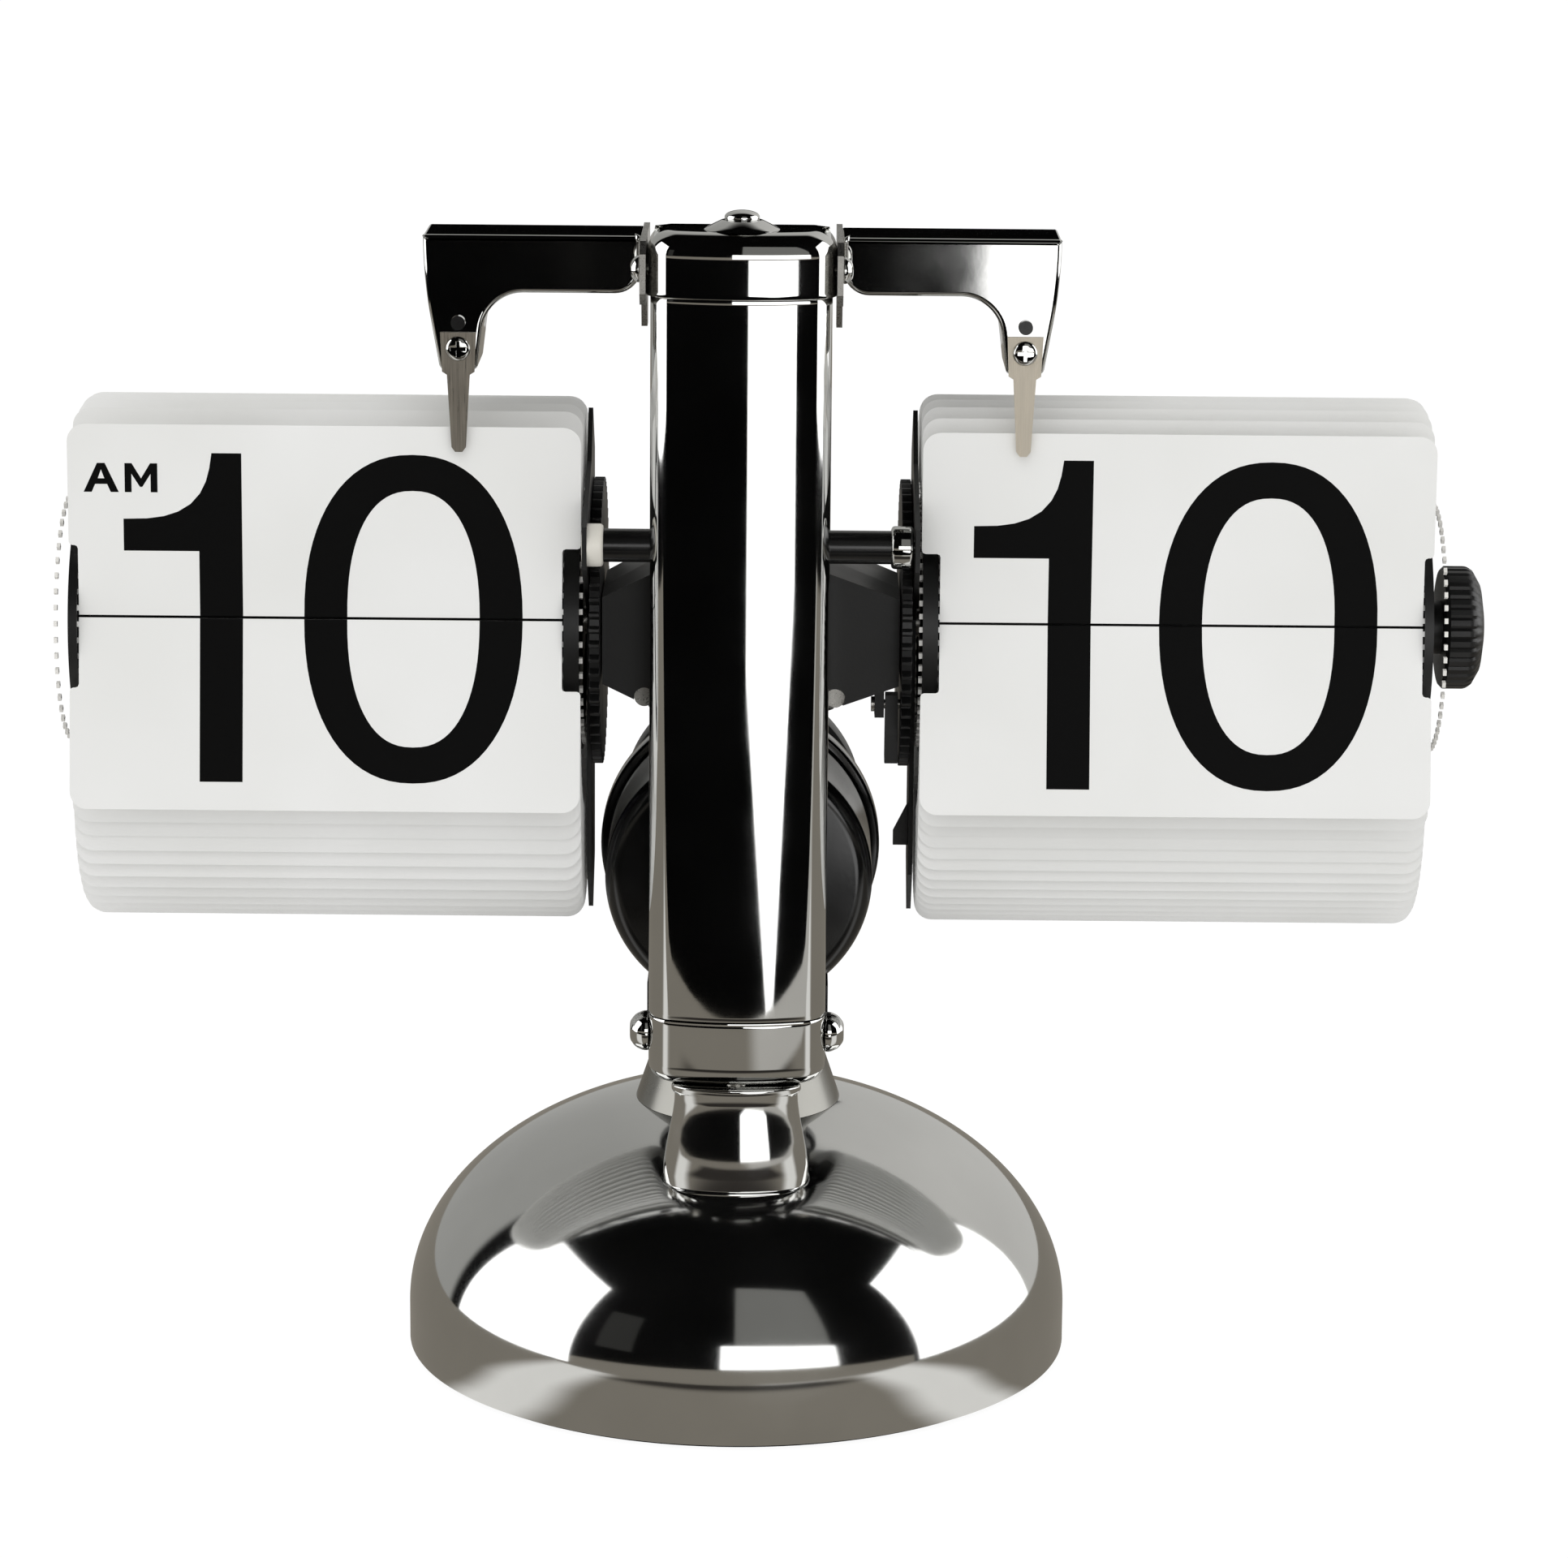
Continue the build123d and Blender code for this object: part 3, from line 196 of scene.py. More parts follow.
def mirror_x(bm):
    """Mirror image across the YZ plane."""
    bmesh.ops.scale(bm, vec=(-1, 1, 1), verts=bm.verts[:])
    bmesh.ops.reverse_faces(bm, faces=bm.faces[:])


def join(target, extra):
    """Add one body's mesh to another and free it."""
    spare = bpy.data.meshes.new("spare")
    extra.to_mesh(spare)
    extra.free()
    target.from_mesh(spare)
    bpy.data.meshes.remove(spare)


def box(x0, x1, y0, y1, z0, z1):
    """Body of a block between two corners."""
    bm = bmesh.new()
    bmesh.ops.create_cube(bm, size=1)
    bmesh.ops.scale(bm, vec=(x1 - x0, y1 - y0, z1 - z0), verts=bm.verts[:])
    shift(bm, (x0 + x1) / 2, (y0 + y1) / 2, (z0 + z1) / 2)
    return bm


def piece(name, bm, body, finish, replaces=(), sharp=35):
    """Make a piece from a body in millimetres, give it its finish and let it ride."""
    bmesh.ops.scale(bm, vec=(MM, MM, MM), verts=bm.verts[:])
    bm.normal_update()
    for face in bm.faces:
        face.smooth = True
    for edge in bm.edges:
        edge.smooth = len(edge.link_faces) == 2 and edge.calc_face_angle(0) < math.radians(sharp)
    mesh = bpy.data.meshes.new(name)
    bm.to_mesh(mesh)
    bm.free()
    made = bpy.data.objects.new(name, mesh)
    bpy.context.scene.collection.objects.link(made)
    mesh.materials.append(finish)
    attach(made, body)
    if replaces:
        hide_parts(*replaces)
    return made


# Materials

FINISHES = {}


# A pattern keeps mostly to this part of its range
PATTERN_LOW, PATTERN_HIGH = 0.3, 0.7


def bare_material(name):
    """Material with an empty node tree."""
    made = bpy.data.materials.new(name)
    made.use_nodes = True
    made.node_tree.nodes.clear()
    return made, made.node_tree


def new_finish(name):
    """Empty finish and the link to object coordinates, where a scale is in features per millimetre."""
    FINISHES[name], tree = bare_material(name)
    where = add_node(tree, "ShaderNodeTexCoord")
    scaled = add_node(tree, "ShaderNodeVectorMath", {"operation": "SCALE", "Scale": 1000.0},
                      {0: where.outputs["Object"]})
    return tree, {"Vector": scaled.outputs[0]}


def patterned(tree, tones, rough, relief, settings):
    """Surface whose colour, roughness and relief each follow a pattern.

    tones is (pattern, first, second), rough is (pattern, low, high) and relief is
    (pattern, depth in metres, strength).
    """
    pattern, first, second = tones
    colour = add_node(tree, "ShaderNodeValToRGB", None, {"Fac": pattern})
    low_stop, high_stop = colour.color_ramp.elements
    low_stop.color, high_stop.color = linear(first), linear(second)
    low_stop.position, high_stop.position = PATTERN_LOW, PATTERN_HIGH
    pattern, low, high = rough
    roughness = add_node(tree, "ShaderNodeMapRange",
                         {"From Min": PATTERN_LOW, "From Max": PATTERN_HIGH, "To Min": low, "To Max": high},
                         {"Value": pattern})
    pattern, depth, strength = relief
    normal = add_node(tree, "ShaderNodeBump", {"Strength": strength, "Distance": depth}, {"Height": pattern})
    shader = add_node(tree, "ShaderNodeBsdfPrincipled", settings, {
        "Base Color": colour.outputs[0], "Roughness": roughness.outputs[0], "Normal": normal.outputs[0]})
    add_node(tree, "ShaderNodeOutputMaterial", None, {"Surface": shader.outputs[0]})


def chrome_plate(name, rough, first="#cfcfcd", second="#d6d6d4"):
    """Chrome plate over polished steel. Mirror bright, with the faint haze of wiping cloths."""
    tree, where = new_finish(name)
    # The haze lies in patches 20 mm wide, and the cloth's streaks are under 2 mm
    haze = add_node(tree, "ShaderNodeTexNoise", {"Scale": 0.05, "Detail": 4.0}, where).outputs[0]
    streaks = add_node(tree, "ShaderNodeTexNoise", {"Scale": 0.6, "Detail": 2.0}, where).outputs[0]
    patterned(tree, (haze, first, second), (haze, rough, rough + 0.035), (streaks, 0.000002, 0.25),
              {"Metallic": 1.0})


def moulded_plastic(name, first, second, rough, grain=2.5, depth=0.00002, coat=0.0):
    """Injection moulded plastic. A fine spark-eroded grain breaks up its highlights."""
    tree, where = new_finish(name)
    fine = add_node(tree, "ShaderNodeTexNoise", {"Scale": grain, "Detail": 2.0}, where).outputs[0]
    wide = add_node(tree, "ShaderNodeTexNoise", {"Scale": 0.08, "Detail": 3.0}, where).outputs[0]
    patterned(tree, (wide, first, second), (wide, rough - 0.04, rough + 0.06), (fine, depth, 0.5),
              {"Coat Weight": coat, "Coat Roughness": 0.12, "IOR": 1.5})


def turned_metal(name, first, second, rough):
    """Plated or bare metal with fine tool marks, four to the millimetre."""
    tree, where = new_finish(name)
    marks = add_node(tree, "ShaderNodeTexNoise", {"Scale": 4.0, "Detail": 2.0}, where).outputs[0]
    wide = add_node(tree, "ShaderNodeTexNoise", {"Scale": 0.3, "Detail": 3.0}, where).outputs[0]
    patterned(tree, (wide, first, second), (marks, rough - 0.06, rough + 0.1), (marks, 0.00001, 0.3),
              {"Metallic": 1.0})


def brushed_strip(name, first, second, rough):
    """Spring steel strip, ground along its length. Streaks run up and down the blade."""
    tree, where = new_finish(name)
    # Grinding streaks are a sixth of a millimetre wide and about 7 mm long
    stretched = add_node(tree, "ShaderNodeMapping", {"Scale": (6.0, 6.0, 0.15)}, where).outputs[0]
    marks = add_node(tree, "ShaderNodeTexNoise", {"Scale": 1.0, "Detail": 3.0},
                     {"Vector": stretched}).outputs[0]
    patterned(tree, (marks, first, second), (marks, rough - 0.08, rough + 0.1), (marks, 0.00001, 0.4),
              {"Metallic": 1.0, "Anisotropic": 0.4})


def leaf_card(name):
    """Calendered white plastic card. Satin, very slightly mottled, with a soft sheen."""
    tree, where = new_finish(name)
    fibre = add_node(tree, "ShaderNodeTexNoise", {"Scale": 1.2, "Detail": 3.0}, where).outputs[0]
    wide = add_node(tree, "ShaderNodeTexNoise", {"Scale": 0.03, "Detail": 2.0}, where).outputs[0]
    patterned(tree, (wide, "#ecece9", "#f2f2f0"), (fibre, 0.42, 0.56), (fibre, 0.00001, 0.25),
              {"IOR": 1.46, "Sheen Weight": 0.05, "Sheen Roughness": 0.5})


def screen_ink(name):
    """Screen printed ink. Dense black with a faint satin and the mesh's fine orange peel."""
    tree, where = new_finish(name)
    peel = add_node(tree, "ShaderNodeTexNoise", {"Scale": 3.0, "Detail": 2.0}, where).outputs[0]
    patterned(tree, (peel, "#020202", "#060606"), (peel, 0.5, 0.65), (peel, 0.000008, 0.3),
              {"Specular IOR Level": 0.12})


def foam_rubber(name):
    """Closed-cell foam. Small cells show as dark pits."""
    tree, where = new_finish(name)
    cells = add_node(tree, "ShaderNodeTexVoronoi", {"Scale": 1.6}, where).outputs["Distance"]
    patterned(tree, (cells, "#0d0d0d", "#1c1c1c"), (cells, 0.8, 0.95), (cells, 0.0001, 0.6), {"IOR": 1.45})


def sand_cast_iron(name):
    """Grey iron cast in sand. Rough, dark and grainy, with grains about 1 mm wide."""
    tree, where = new_finish(name)
    grain = add_node(tree, "ShaderNodeTexNoise", {"Scale": 0.9, "Detail": 5.0}, where).outputs[0]
    patterned(tree, (grain, "#2a2826", "#45413d"), (grain, 0.65, 0.9), (grain, 0.0002, 0.6),
              {"Metallic": 0.7})


def make_finishes():
    """Every finish of the clock, by a maker's name."""
    chrome_plate("chrome plate", 0.02)
    chrome_plate("buffed chrome plate", 0.055)
    chrome_plate("satin nickel plate", 0.26, "#85847f", "#8f8e89")
    moulded_plastic("black ABS moulding", "#070707", "#0c0c0c", 0.38)
    moulded_plastic("black ABS polished", "#050505", "#090909", 0.16, grain=1.0, depth=0.00001, coat=0.3)
    moulded_plastic("white ABS", "#e9e7e1", "#f1efea", 0.25)
    moulded_plastic("natural acetal", "#d9d5ca", "#e4e1d8", 0.35)
    # Also given to the steel finger pins, where its black is painted reflection of the dark room
    moulded_plastic("black stove enamel", "#080808", "#0d0d0d", 0.22, grain=0.8, depth=0.000015, coat=0.2)
    moulded_plastic("cell jacket", "#16181c", "#1d2026", 0.3)
    turned_metal("zinc plated steel", "#a8a6a1", "#bcbab5", 0.3)
    turned_metal("brass sheet", "#b8924a", "#c9a55c", 0.28)
    brushed_strip("spring steel strip", "#8a847a", "#a39c90", 0.34)
    # The right finger is the same spring steel as the left; this copy's cream colour is painted reflection
    # of the bright wedge in front of it
    brushed_strip("spring steel painted bright reflection", "#e2d8c6", "#efe7d8", 0.5)
    leaf_card("white PVC card")
    screen_ink("black screen ink")
    foam_rubber("foam rubber")
    sand_cast_iron("sand cast iron")


# Studio

def emitter(name, colour, strength):
    """Plain light-giving surface for softboxes and cards."""
    made, tree = bare_material(name)
    glow = add_node(tree, "ShaderNodeEmission", {"Color": linear(colour), "Strength": strength})
    add_node(tree, "ShaderNodeOutputMaterial", None, {"Surface": glow.outputs[0]})
    return made


def stage_card(name, corners, material, camera=False, diffuse=False, glossy=True):
    """Flat card of the studio, in metres. It shows only to the rays it is named for."""
    bm = bmesh.new()
    bm.faces.new([bm.verts.new(c) for c in corners])
    mesh = bpy.data.meshes.new(name)
    bm.to_mesh(mesh)
    bm.free()
    card = bpy.data.objects.new(name, mesh)
    bpy.context.scene.collection.objects.link(card)
    mesh.materials.append(material)
    card.visible_camera = camera
    card.visible_diffuse = diffuse
    card.visible_glossy = glossy
    card.visible_transmission = False
    card.visible_shadow = False
    card.visible_volume_scatter = False


def level_corners(half, front, rear, height):
    """Corners of a level rectangle."""
    return [(-half, front, height), (half, front, height), (half, rear, height), (-half, rear, height)]


def wall_card(name, azimuth, distance, width, low, high, material, offset):
    """Upright card that faces the clock. Azimuth 0 is in front and 90 is to the right."""
    a = math.radians(azimuth)
    out = Vector((math.sin(a), -math.cos(a), 0))
    side = Vector((math.cos(a), math.sin(a), 0))
    middle = out * distance + side * offset
    left, right = middle - side * width / 2, middle + side * width / 2
    up = Vector((0, 0, 1))
    corners = [left + up * low, right + up * low, right + up * high, left + up * high]
    stage_card(name, corners, material)


def make_camera(settings):
    """Camera where the photographed clock was seen from."""
    data = bpy.data.cameras.new("camera")
    data.sensor_width = 36.0
    data.lens = settings.lens
    data.clip_start = 0.05
    data.clip_end = 50.0
    cam = bpy.data.objects.new("camera", data)
    bpy.context.scene.collection.objects.link(cam)
    pitch, roll = settings.pitch, settings.roll
    forward = Vector((0, math.cos(pitch), -math.sin(pitch)))
    up = Vector((0, math.sin(pitch), math.cos(pitch)))
    side = Vector((1, 0, 0))
    right = side * math.cos(roll) + up * math.sin(roll)
    above = up * math.cos(roll) - side * math.sin(roll)
    matrix = Matrix((right, above, -forward)).transposed().to_4x4()
    matrix.translation = Vector((settings.eye_x, settings.eye_y, settings.eye_z))
    cam.matrix_world = matrix
    bpy.context.scene.camera = cam


def make_floor():
    """Pale floor that keeps a faint shadow. It gives the clock less light than it shows the camera."""
    paper, tree = bare_material("pale paper sweep")
    path = add_node(tree, "ShaderNodeLightPath")
    level = add_node(tree, "ShaderNodeMapRange", {"To Min": 0.9, "To Max": 1.06},
                     {"Value": path.outputs["Is Camera Ray"]})
    glow = add_node(tree, "ShaderNodeEmission", {"Color": (1, 1, 1, 1)}, {"Strength": level.outputs[0]})
    matt = add_node(tree, "ShaderNodeBsdfDiffuse", {"Color": linear("#f4f4f4")})
    mix = add_node(tree, "ShaderNodeMixShader", {0: 0.1}, {1: glow.outputs[0], 2: matt.outputs[0]})
    add_node(tree, "ShaderNodeOutputMaterial", None, {"Surface": mix.outputs[0]})
    reach = 9.0
    stage_card("floor", level_corners(reach, -reach, reach, 0), paper, camera=True, diffuse=True,
               glossy=False)


def make_table():
    """Table top that only the chrome sees: two pale spots of painted light, a dark strip of painted shade in
    front and an apron.
    """
    table, tree = bare_material("table top in the chrome")
    where = add_node(tree, "ShaderNodeTexCoord").outputs["Object"]
    parts = add_node(tree, "ShaderNodeSeparateXYZ", None, {0: where})
    across, along = parts.outputs[0], parts.outputs[1]
    angle = add_node(tree, "ShaderNodeMath", {"operation": "ARCTAN2"}, {0: across, 1: along})
    bearing = add_node(tree, "ShaderNodeMath", {"operation": "ABSOLUTE"}, {0: angle.outputs[0]}).outputs[0]
    aside = add_node(tree, "ShaderNodeMath", {"operation": "ABSOLUTE"}, {0: across}).outputs[0]
    # Each edge is a soft step of one measure, from nothing at its start to whole at its end
    edges = {}
    for name, measure, start, end in (
            ("spot front", bearing, math.radians(147), math.radians(136)),
            ("spot rear", bearing, math.radians(117), math.radians(127)),
            ("strip rear", along, -0.11, -0.15),
            ("strip side", aside, 0.12, 0.08),
            ("apron rear", along, -0.216, -0.226),
            ("apron right", across, 0.015, 0.05)):
        settings = {"interpolation_type": "SMOOTHSTEP", "From Min": start, "From Max": end}
        edges[name] = add_node(tree, "ShaderNodeMapRange", settings, {"Value": measure}).outputs[0]
    # The pale spots are painted pools of light, and the dark strip is painted shade
    spot = add_node(tree, "ShaderNodeMath", {"operation": "MULTIPLY"},
                    {0: edges["spot front"], 1: edges["spot rear"]})
    strip = add_node(tree, "ShaderNodeMath", {"operation": "MULTIPLY"},
                     {0: edges["strip rear"], 1: edges["strip side"]})
    # pale is the colour of the painted light in the spots, dark the colour of the painted shade in the strip
    desk, pale, dark, light = (linear(code) for code in ("#88837a", "#f6f5f2", "#33302d", "#c2c0bb"))
    ground = add_node(tree, "ShaderNodeMix", {"data_type": "RGBA", 6: desk, 7: pale}, {0: spot.outputs[0]})
    shade = add_node(tree, "ShaderNodeMix", {"data_type": "RGBA", 7: dark},
                     {0: strip.outputs[0], 6: ground.outputs[2]})
    apron = add_node(tree, "ShaderNodeMix", {"data_type": "RGBA", 6: desk, 7: light},
                     {0: edges["apron right"]})
    tone = add_node(tree, "ShaderNodeMix", {"data_type": "RGBA"},
                    {0: edges["apron rear"], 6: shade.outputs[2], 7: apron.outputs[2]})
    glow = add_node(tree, "ShaderNodeEmission", {"Strength": 1.0}, {"Color": tone.outputs[2]})
    add_node(tree, "ShaderNodeOutputMaterial", None, {"Surface": glow.outputs[0]})
    front, rear, half = -0.274, 1.2, 0.75
    stage_card("table_top", level_corners(half, front, rear, 0.0002), table)


def make_world():
    """White to the camera and soft to matt surfaces. The chrome sees a dark room with a pale back wall."""
    world = bpy.data.worlds.new("studio")
    bpy.context.scene.world = world
    world.use_nodes = True
    tree = world.node_tree
    tree.nodes.clear()
    where = add_node(tree, "ShaderNodeTexCoord").outputs["Generated"]
    parts = add_node(tree, "ShaderNodeSeparateXYZ", None, {0: where})
    # The wall's lower side edge, its upper edge and its turn from grey to pale, by axis
    edges = []
    for axis, start, end in ((1, 0.44, 0.5), (2, 0.86, 0.7), (0, -0.4, 0.5)):
        settings = {"interpolation_type": "SMOOTHSTEP", "From Min": start, "From Max": end}
        edge = add_node(tree, "ShaderNodeMapRange", settings, {"Value": parts.outputs[axis]})
        edges.append(edge.outputs[0])
    behind, low, across = edges
    wall = add_node(tree, "ShaderNodeMath", {"operation": "MULTIPLY"}, {0: behind, 1: low})
    wall_tone = add_node(tree, "ShaderNodeMix",
                         {"data_type": "RGBA", 6: linear("#a8a8a5"), 7: linear("#d2d1ce")}, {0: across})
    room = add_node(tree, "ShaderNodeMix", {"data_type": "RGBA", 6: linear("#060606")},
                    {0: wall.outputs[0], 7: wall_tone.outputs[2]})
    path = add_node(tree, "ShaderNodeLightPath")
    soft = add_node(tree, "ShaderNodeMix", {"data_type": "RGBA", 6: linear("#dfdfdf")},
                    {0: path.outputs["Is Glossy Ray"], 7: room.outputs[2]})
    seen = add_node(tree, "ShaderNodeMix", {"data_type": "RGBA", 7: (1, 1, 1, 1)},
                    {0: path.outputs["Is Camera Ray"], 6: soft.outputs[2]})
    sky = add_node(tree, "ShaderNodeBackground", {"Strength": 1.0}, {"Color": seen.outputs[2]})
    add_node(tree, "ShaderNodeOutputWorld", None, {"Surface": sky.outputs[0]})


def make_lights():
    """Softboxes at both sides, a window of light in front, a soft lamp from above and a weak low one."""
    bright = emitter("softbox face", "#ffffff", 2.2)
    pale = emitter("grey card", "#8f8f8c", 0.75)
    dim = emitter("dim card", "#4a4a48", 0.5)
    desk = emitter("far desk", "#88837a", 1.0)
    # Name, azimuth, distance, width, lower edge, upper edge, material and sideways offset, in metres
    for card in (
            ("softbox_left", -84, 1.0, 0.98, 0.0, 1.12, bright, 0.02),
            ("softbox_right", 92, 1.0, 1.1, 0.0, 1.18, bright, 0.02),
            ("front_window", 0, 1.18, 0.93, 0.16, 0.51, bright, 0.365),
            ("front_window_haze", 0, 1.20, 0.8, 0.51, 1.9, pale, 0.4),
            ("side_haze_left", -42, 1.2, 0.28, 0.3, 0.85, dim, 0.0),
            ("far_front", 0, 4.0, 16.0, -0.2, 0.5, desk, 0.0)):
        wall_card(*card)
    wedge = [(0.155, -0.15), (0.155, -0.5), (0.78, -0.8), (0.98, -0.8), (1.53, -0.5), (1.53, -0.15)]
    stage_card("front_wedge", [(x, -3.0, z) for x, z in wedge], bright)
    gap = [(-0.1, 0.225), (0.1, 0.225), (0.1, 0.3), (-0.1, 0.3)]
    stage_card("dark_gap", [(x, 0.5, z) for x, z in gap], emitter("black card", "#050505", 1.0))
    # Name, width, depth, watts, place and the way that the lamp's back points
    for name, width, depth, watts, place, back in (
            ("top_soft", 1.2, 0.8, 3.6, (-0.2, -0.6, 1.3), (-0.2, -0.6, 1.15)),
            ("low_fill", 0.7, 0.3, 0.3, (0.45, -0.75, 0.03), (0.4, -0.75, -0.08))):
        area = bpy.data.lights.new(name, "AREA")
        area.shape = "RECTANGLE"
        area.size, area.size_y = width, depth
        area.energy = watts
        lamp = bpy.data.objects.new(name, area)
        lamp.location = place
        lamp.rotation_euler = Vector(back).to_track_quat("Z", "Y").to_euler()
        lamp.visible_glossy = False
        lamp.visible_camera = False
        bpy.context.scene.collection.objects.link(lamp)


# Chrome body

def dome_body():
    """Domed shell with a wall below and a rolled lower edge."""
    sheet = 1.2
    inside = DOME_RADIUS - sheet
    outer = arc_points((0, DOME_WALL_TOP), (DOME_RADIUS, DOME_RISE), 90, 0, 64)
    inner = arc_points((0, DOME_WALL_TOP), (inside, DOME_RISE - sheet), 0, 90, 32)
    outer[0] = (0, outer[0][1])
    inner[-1] = (0, inner[-1][1])
    foot = [(DOME_RADIUS, 3.5), (DOME_RADIUS, DOME_FOOT), (inside, DOME_FOOT)]
    corner = len(outer) + 1
    return lathe(outer + foot + inner, 192, {corner: (0.5, 4), corner + 1: (0.5, 4)})


def crown_body():
    """Post at the middle of the dome. Its skirt widens down to meet the dome."""
    foot, waist, waist_height, clear = 17.9, 15.0, 53.5, 0.05
    profile = [(radius, dome_height(radius) + clear) for radius in (0, 8.0, 14.0, foot)]
    profile += [(waist, waist_height), (waist, CROWN_TOP), (0, CROWN_TOP)]
    return lathe(profile, 128, {4: (1.5, 5), 5: (0.4, 3)})


def neck_body():
    """Oval neck with a rounded foot ring and a lip below the cup."""
    foot, flatness = 36.0, 0.45
    profile = [(0, foot), (12.7, foot), (12.7, 38.2), (12.1, 38.5), (12.35, 40.5), (12.3, 42.5),
               (12.0, 44.6), (11.6, 46.8), (11.15, 49.0), (10.75, 51.2), (10.5, 53.2), (10.45, 54.6),
               (11.0, 55.2), (11.0, CUP_BOTTOM), (0, CUP_BOTTOM)]
    bm = lathe(profile, 128, {2: (0.45, 4), 3: (0.2, 3), 12: (0.25, 3), 13: (0.25, 3)})
    bmesh.ops.scale(bm, vec=(1, flatness, 1), verts=bm.verts[:])
    shift(bm, y=NECK_Y)
    for v in bm.verts:
        if v.co.z < foot + 0.01:
            v.co.z = dome_height(math.hypot(v.co.x, v.co.y)) + 0.02
    bmesh.ops.recalc_face_normals(bm, faces=bm.faces[:])
    return bm


def pillar_blank(z0, z1, grow, corner):
    """Pillar section pushed up: rounded front corners and a front that bows out a little."""
    half, rear_corner, bow = 15.0 + grow, 1.0, 39.0 + grow
    front, rear = PILLAR_FRONT - grow, PILLAR_BACK + grow
    bm = bmesh.new()
    face = outline_face(bm, [(-half, front), (half, front), (half, rear), (-half, rear)], "XY", z0)
    verts = list(face.verts)
    round_corners(bm, [(verts[0], corner, 12), (verts[1], corner, 12), (verts[2], rear_corner, 4),
                       (verts[3], rear_corner, 4)])
    bm.edges.ensure_lookup_table()
    on_front = [e for e in bm.edges if all(abs(v.co.y - front) < 0.01 for v in e.verts)]
    longest = [e for e in on_front if e.calc_length() > 5]
    bmesh.ops.subdivide_edges(bm, edges=longest, cuts=44)
    middle = (front + rear) / 2
    for v in bm.verts:
        if v.co.y < middle:
            v.co.y += bow - math.sqrt(bow ** 2 - v.co.x ** 2)
    push(bm, bm.faces[:], (0, 0, z1 - z0))
    return bm


def hold_loops(bm, heights):
    """Level cuts that keep a broad face's shading true up to its bevel."""
    for height in heights:
        bmesh.ops.bisect_plane(bm, geom=bm.verts[:] + bm.edges[:] + bm.faces[:], dist=1e-5,
                               plane_co=(0, 0, height), plane_no=(0, 0, 1))


def rim_edges(bm, z):
    """Edges of the outline at a height."""
    return [e for e in bm.edges if all(abs(v.co.z - z) < MERGE for v in e.verts)]


def pillar_body():
    """Pillar between the cup and the cap, with a fine broken edge at both ends."""
    bottom, top = PILLAR_BOTTOM + SEAM, PILLAR_TOP - SEAM
    bm = pillar_blank(bottom, top, 0.0, 3.5)
    hold_loops(bm, (PILLAR_BOTTOM + HOLD, PILLAR_TOP - HOLD))
    bmesh.ops.bevel(bm, geom=rim_edges(bm, bottom) + rim_edges(bm, top), affect="EDGES", offset=0.2,
                    segments=2, profile=0.5, material=-1)
    return bm


def rounded_end(z0, z1, grow, corner, radius, upper):
    """Pillar-shaped end piece with one end rounded over."""
    bm = pillar_blank(z0, z1, grow, corner)
    far, near = (z1, z0) if upper else (z0, z1)
    inward = 1 if upper else -1
    hold_loops(bm, (near + inward * HOLD, far - inward * (radius + 0.1)))
    bmesh.ops.bevel(bm, geom=rim_edges(bm, far), affect="EDGES", offset=radius, segments=12, profile=0.5,
                    material=-1, clamp_overlap=False)
    bmesh.ops.bevel(bm, geom=rim_edges(bm, near), affect="EDGES", offset=0.2, segments=2, profile=0.5,
                    material=-1)
    bmesh.ops.remove_doubles(bm, verts=bm.verts[:], dist=0.002)
    bmesh.ops.recalc_face_normals(bm, faces=bm.faces[:])
    return bm


def acorn_body(radius, length):
    """Domed nut or screw head that stands out along +X from x = 0."""
    profile = [(0, 0), (radius, 0), (radius, length * 0.3), (radius * 0.82, length * 0.72),
               (radius * 0.45, length), (0, length)]
    bm = lathe(profile, 40, {1: (0.2, 2), 2: (0.3, 3), 3: (0.5, 3), 4: (0.4, 3)})
    turn(bm, "Y", 90)
    return bm


def finial_bodies():
    """Dished washer and domed screw head on the cap."""
    y = (PILLAR_FRONT + PILLAR_BACK) / 2
    seat = CAP_TOP + 1.6
    washer = lathe([(1.6, CAP_TOP), (6.3, CAP_TOP), (5.6, CAP_TOP + 0.5), (3.4, seat), (1.6, seat)], 64,
                   {1: (0.12, 2), 2: (0.3, 3), 3: (0.2, 2)})
    radius, wall, rise = 2.9, 0.5, 1.1
    crown = arc_points((0, seat + wall), (radius, rise), 12, 80, 8)
    head = lathe([(0, seat), (radius, seat), (radius, seat + wall)] + crown + [(0, seat + wall + rise)], 48,
                 {1: (0.15, 2)})
    shift(washer, y=y)
    shift(head, y=y)
    return washer, head


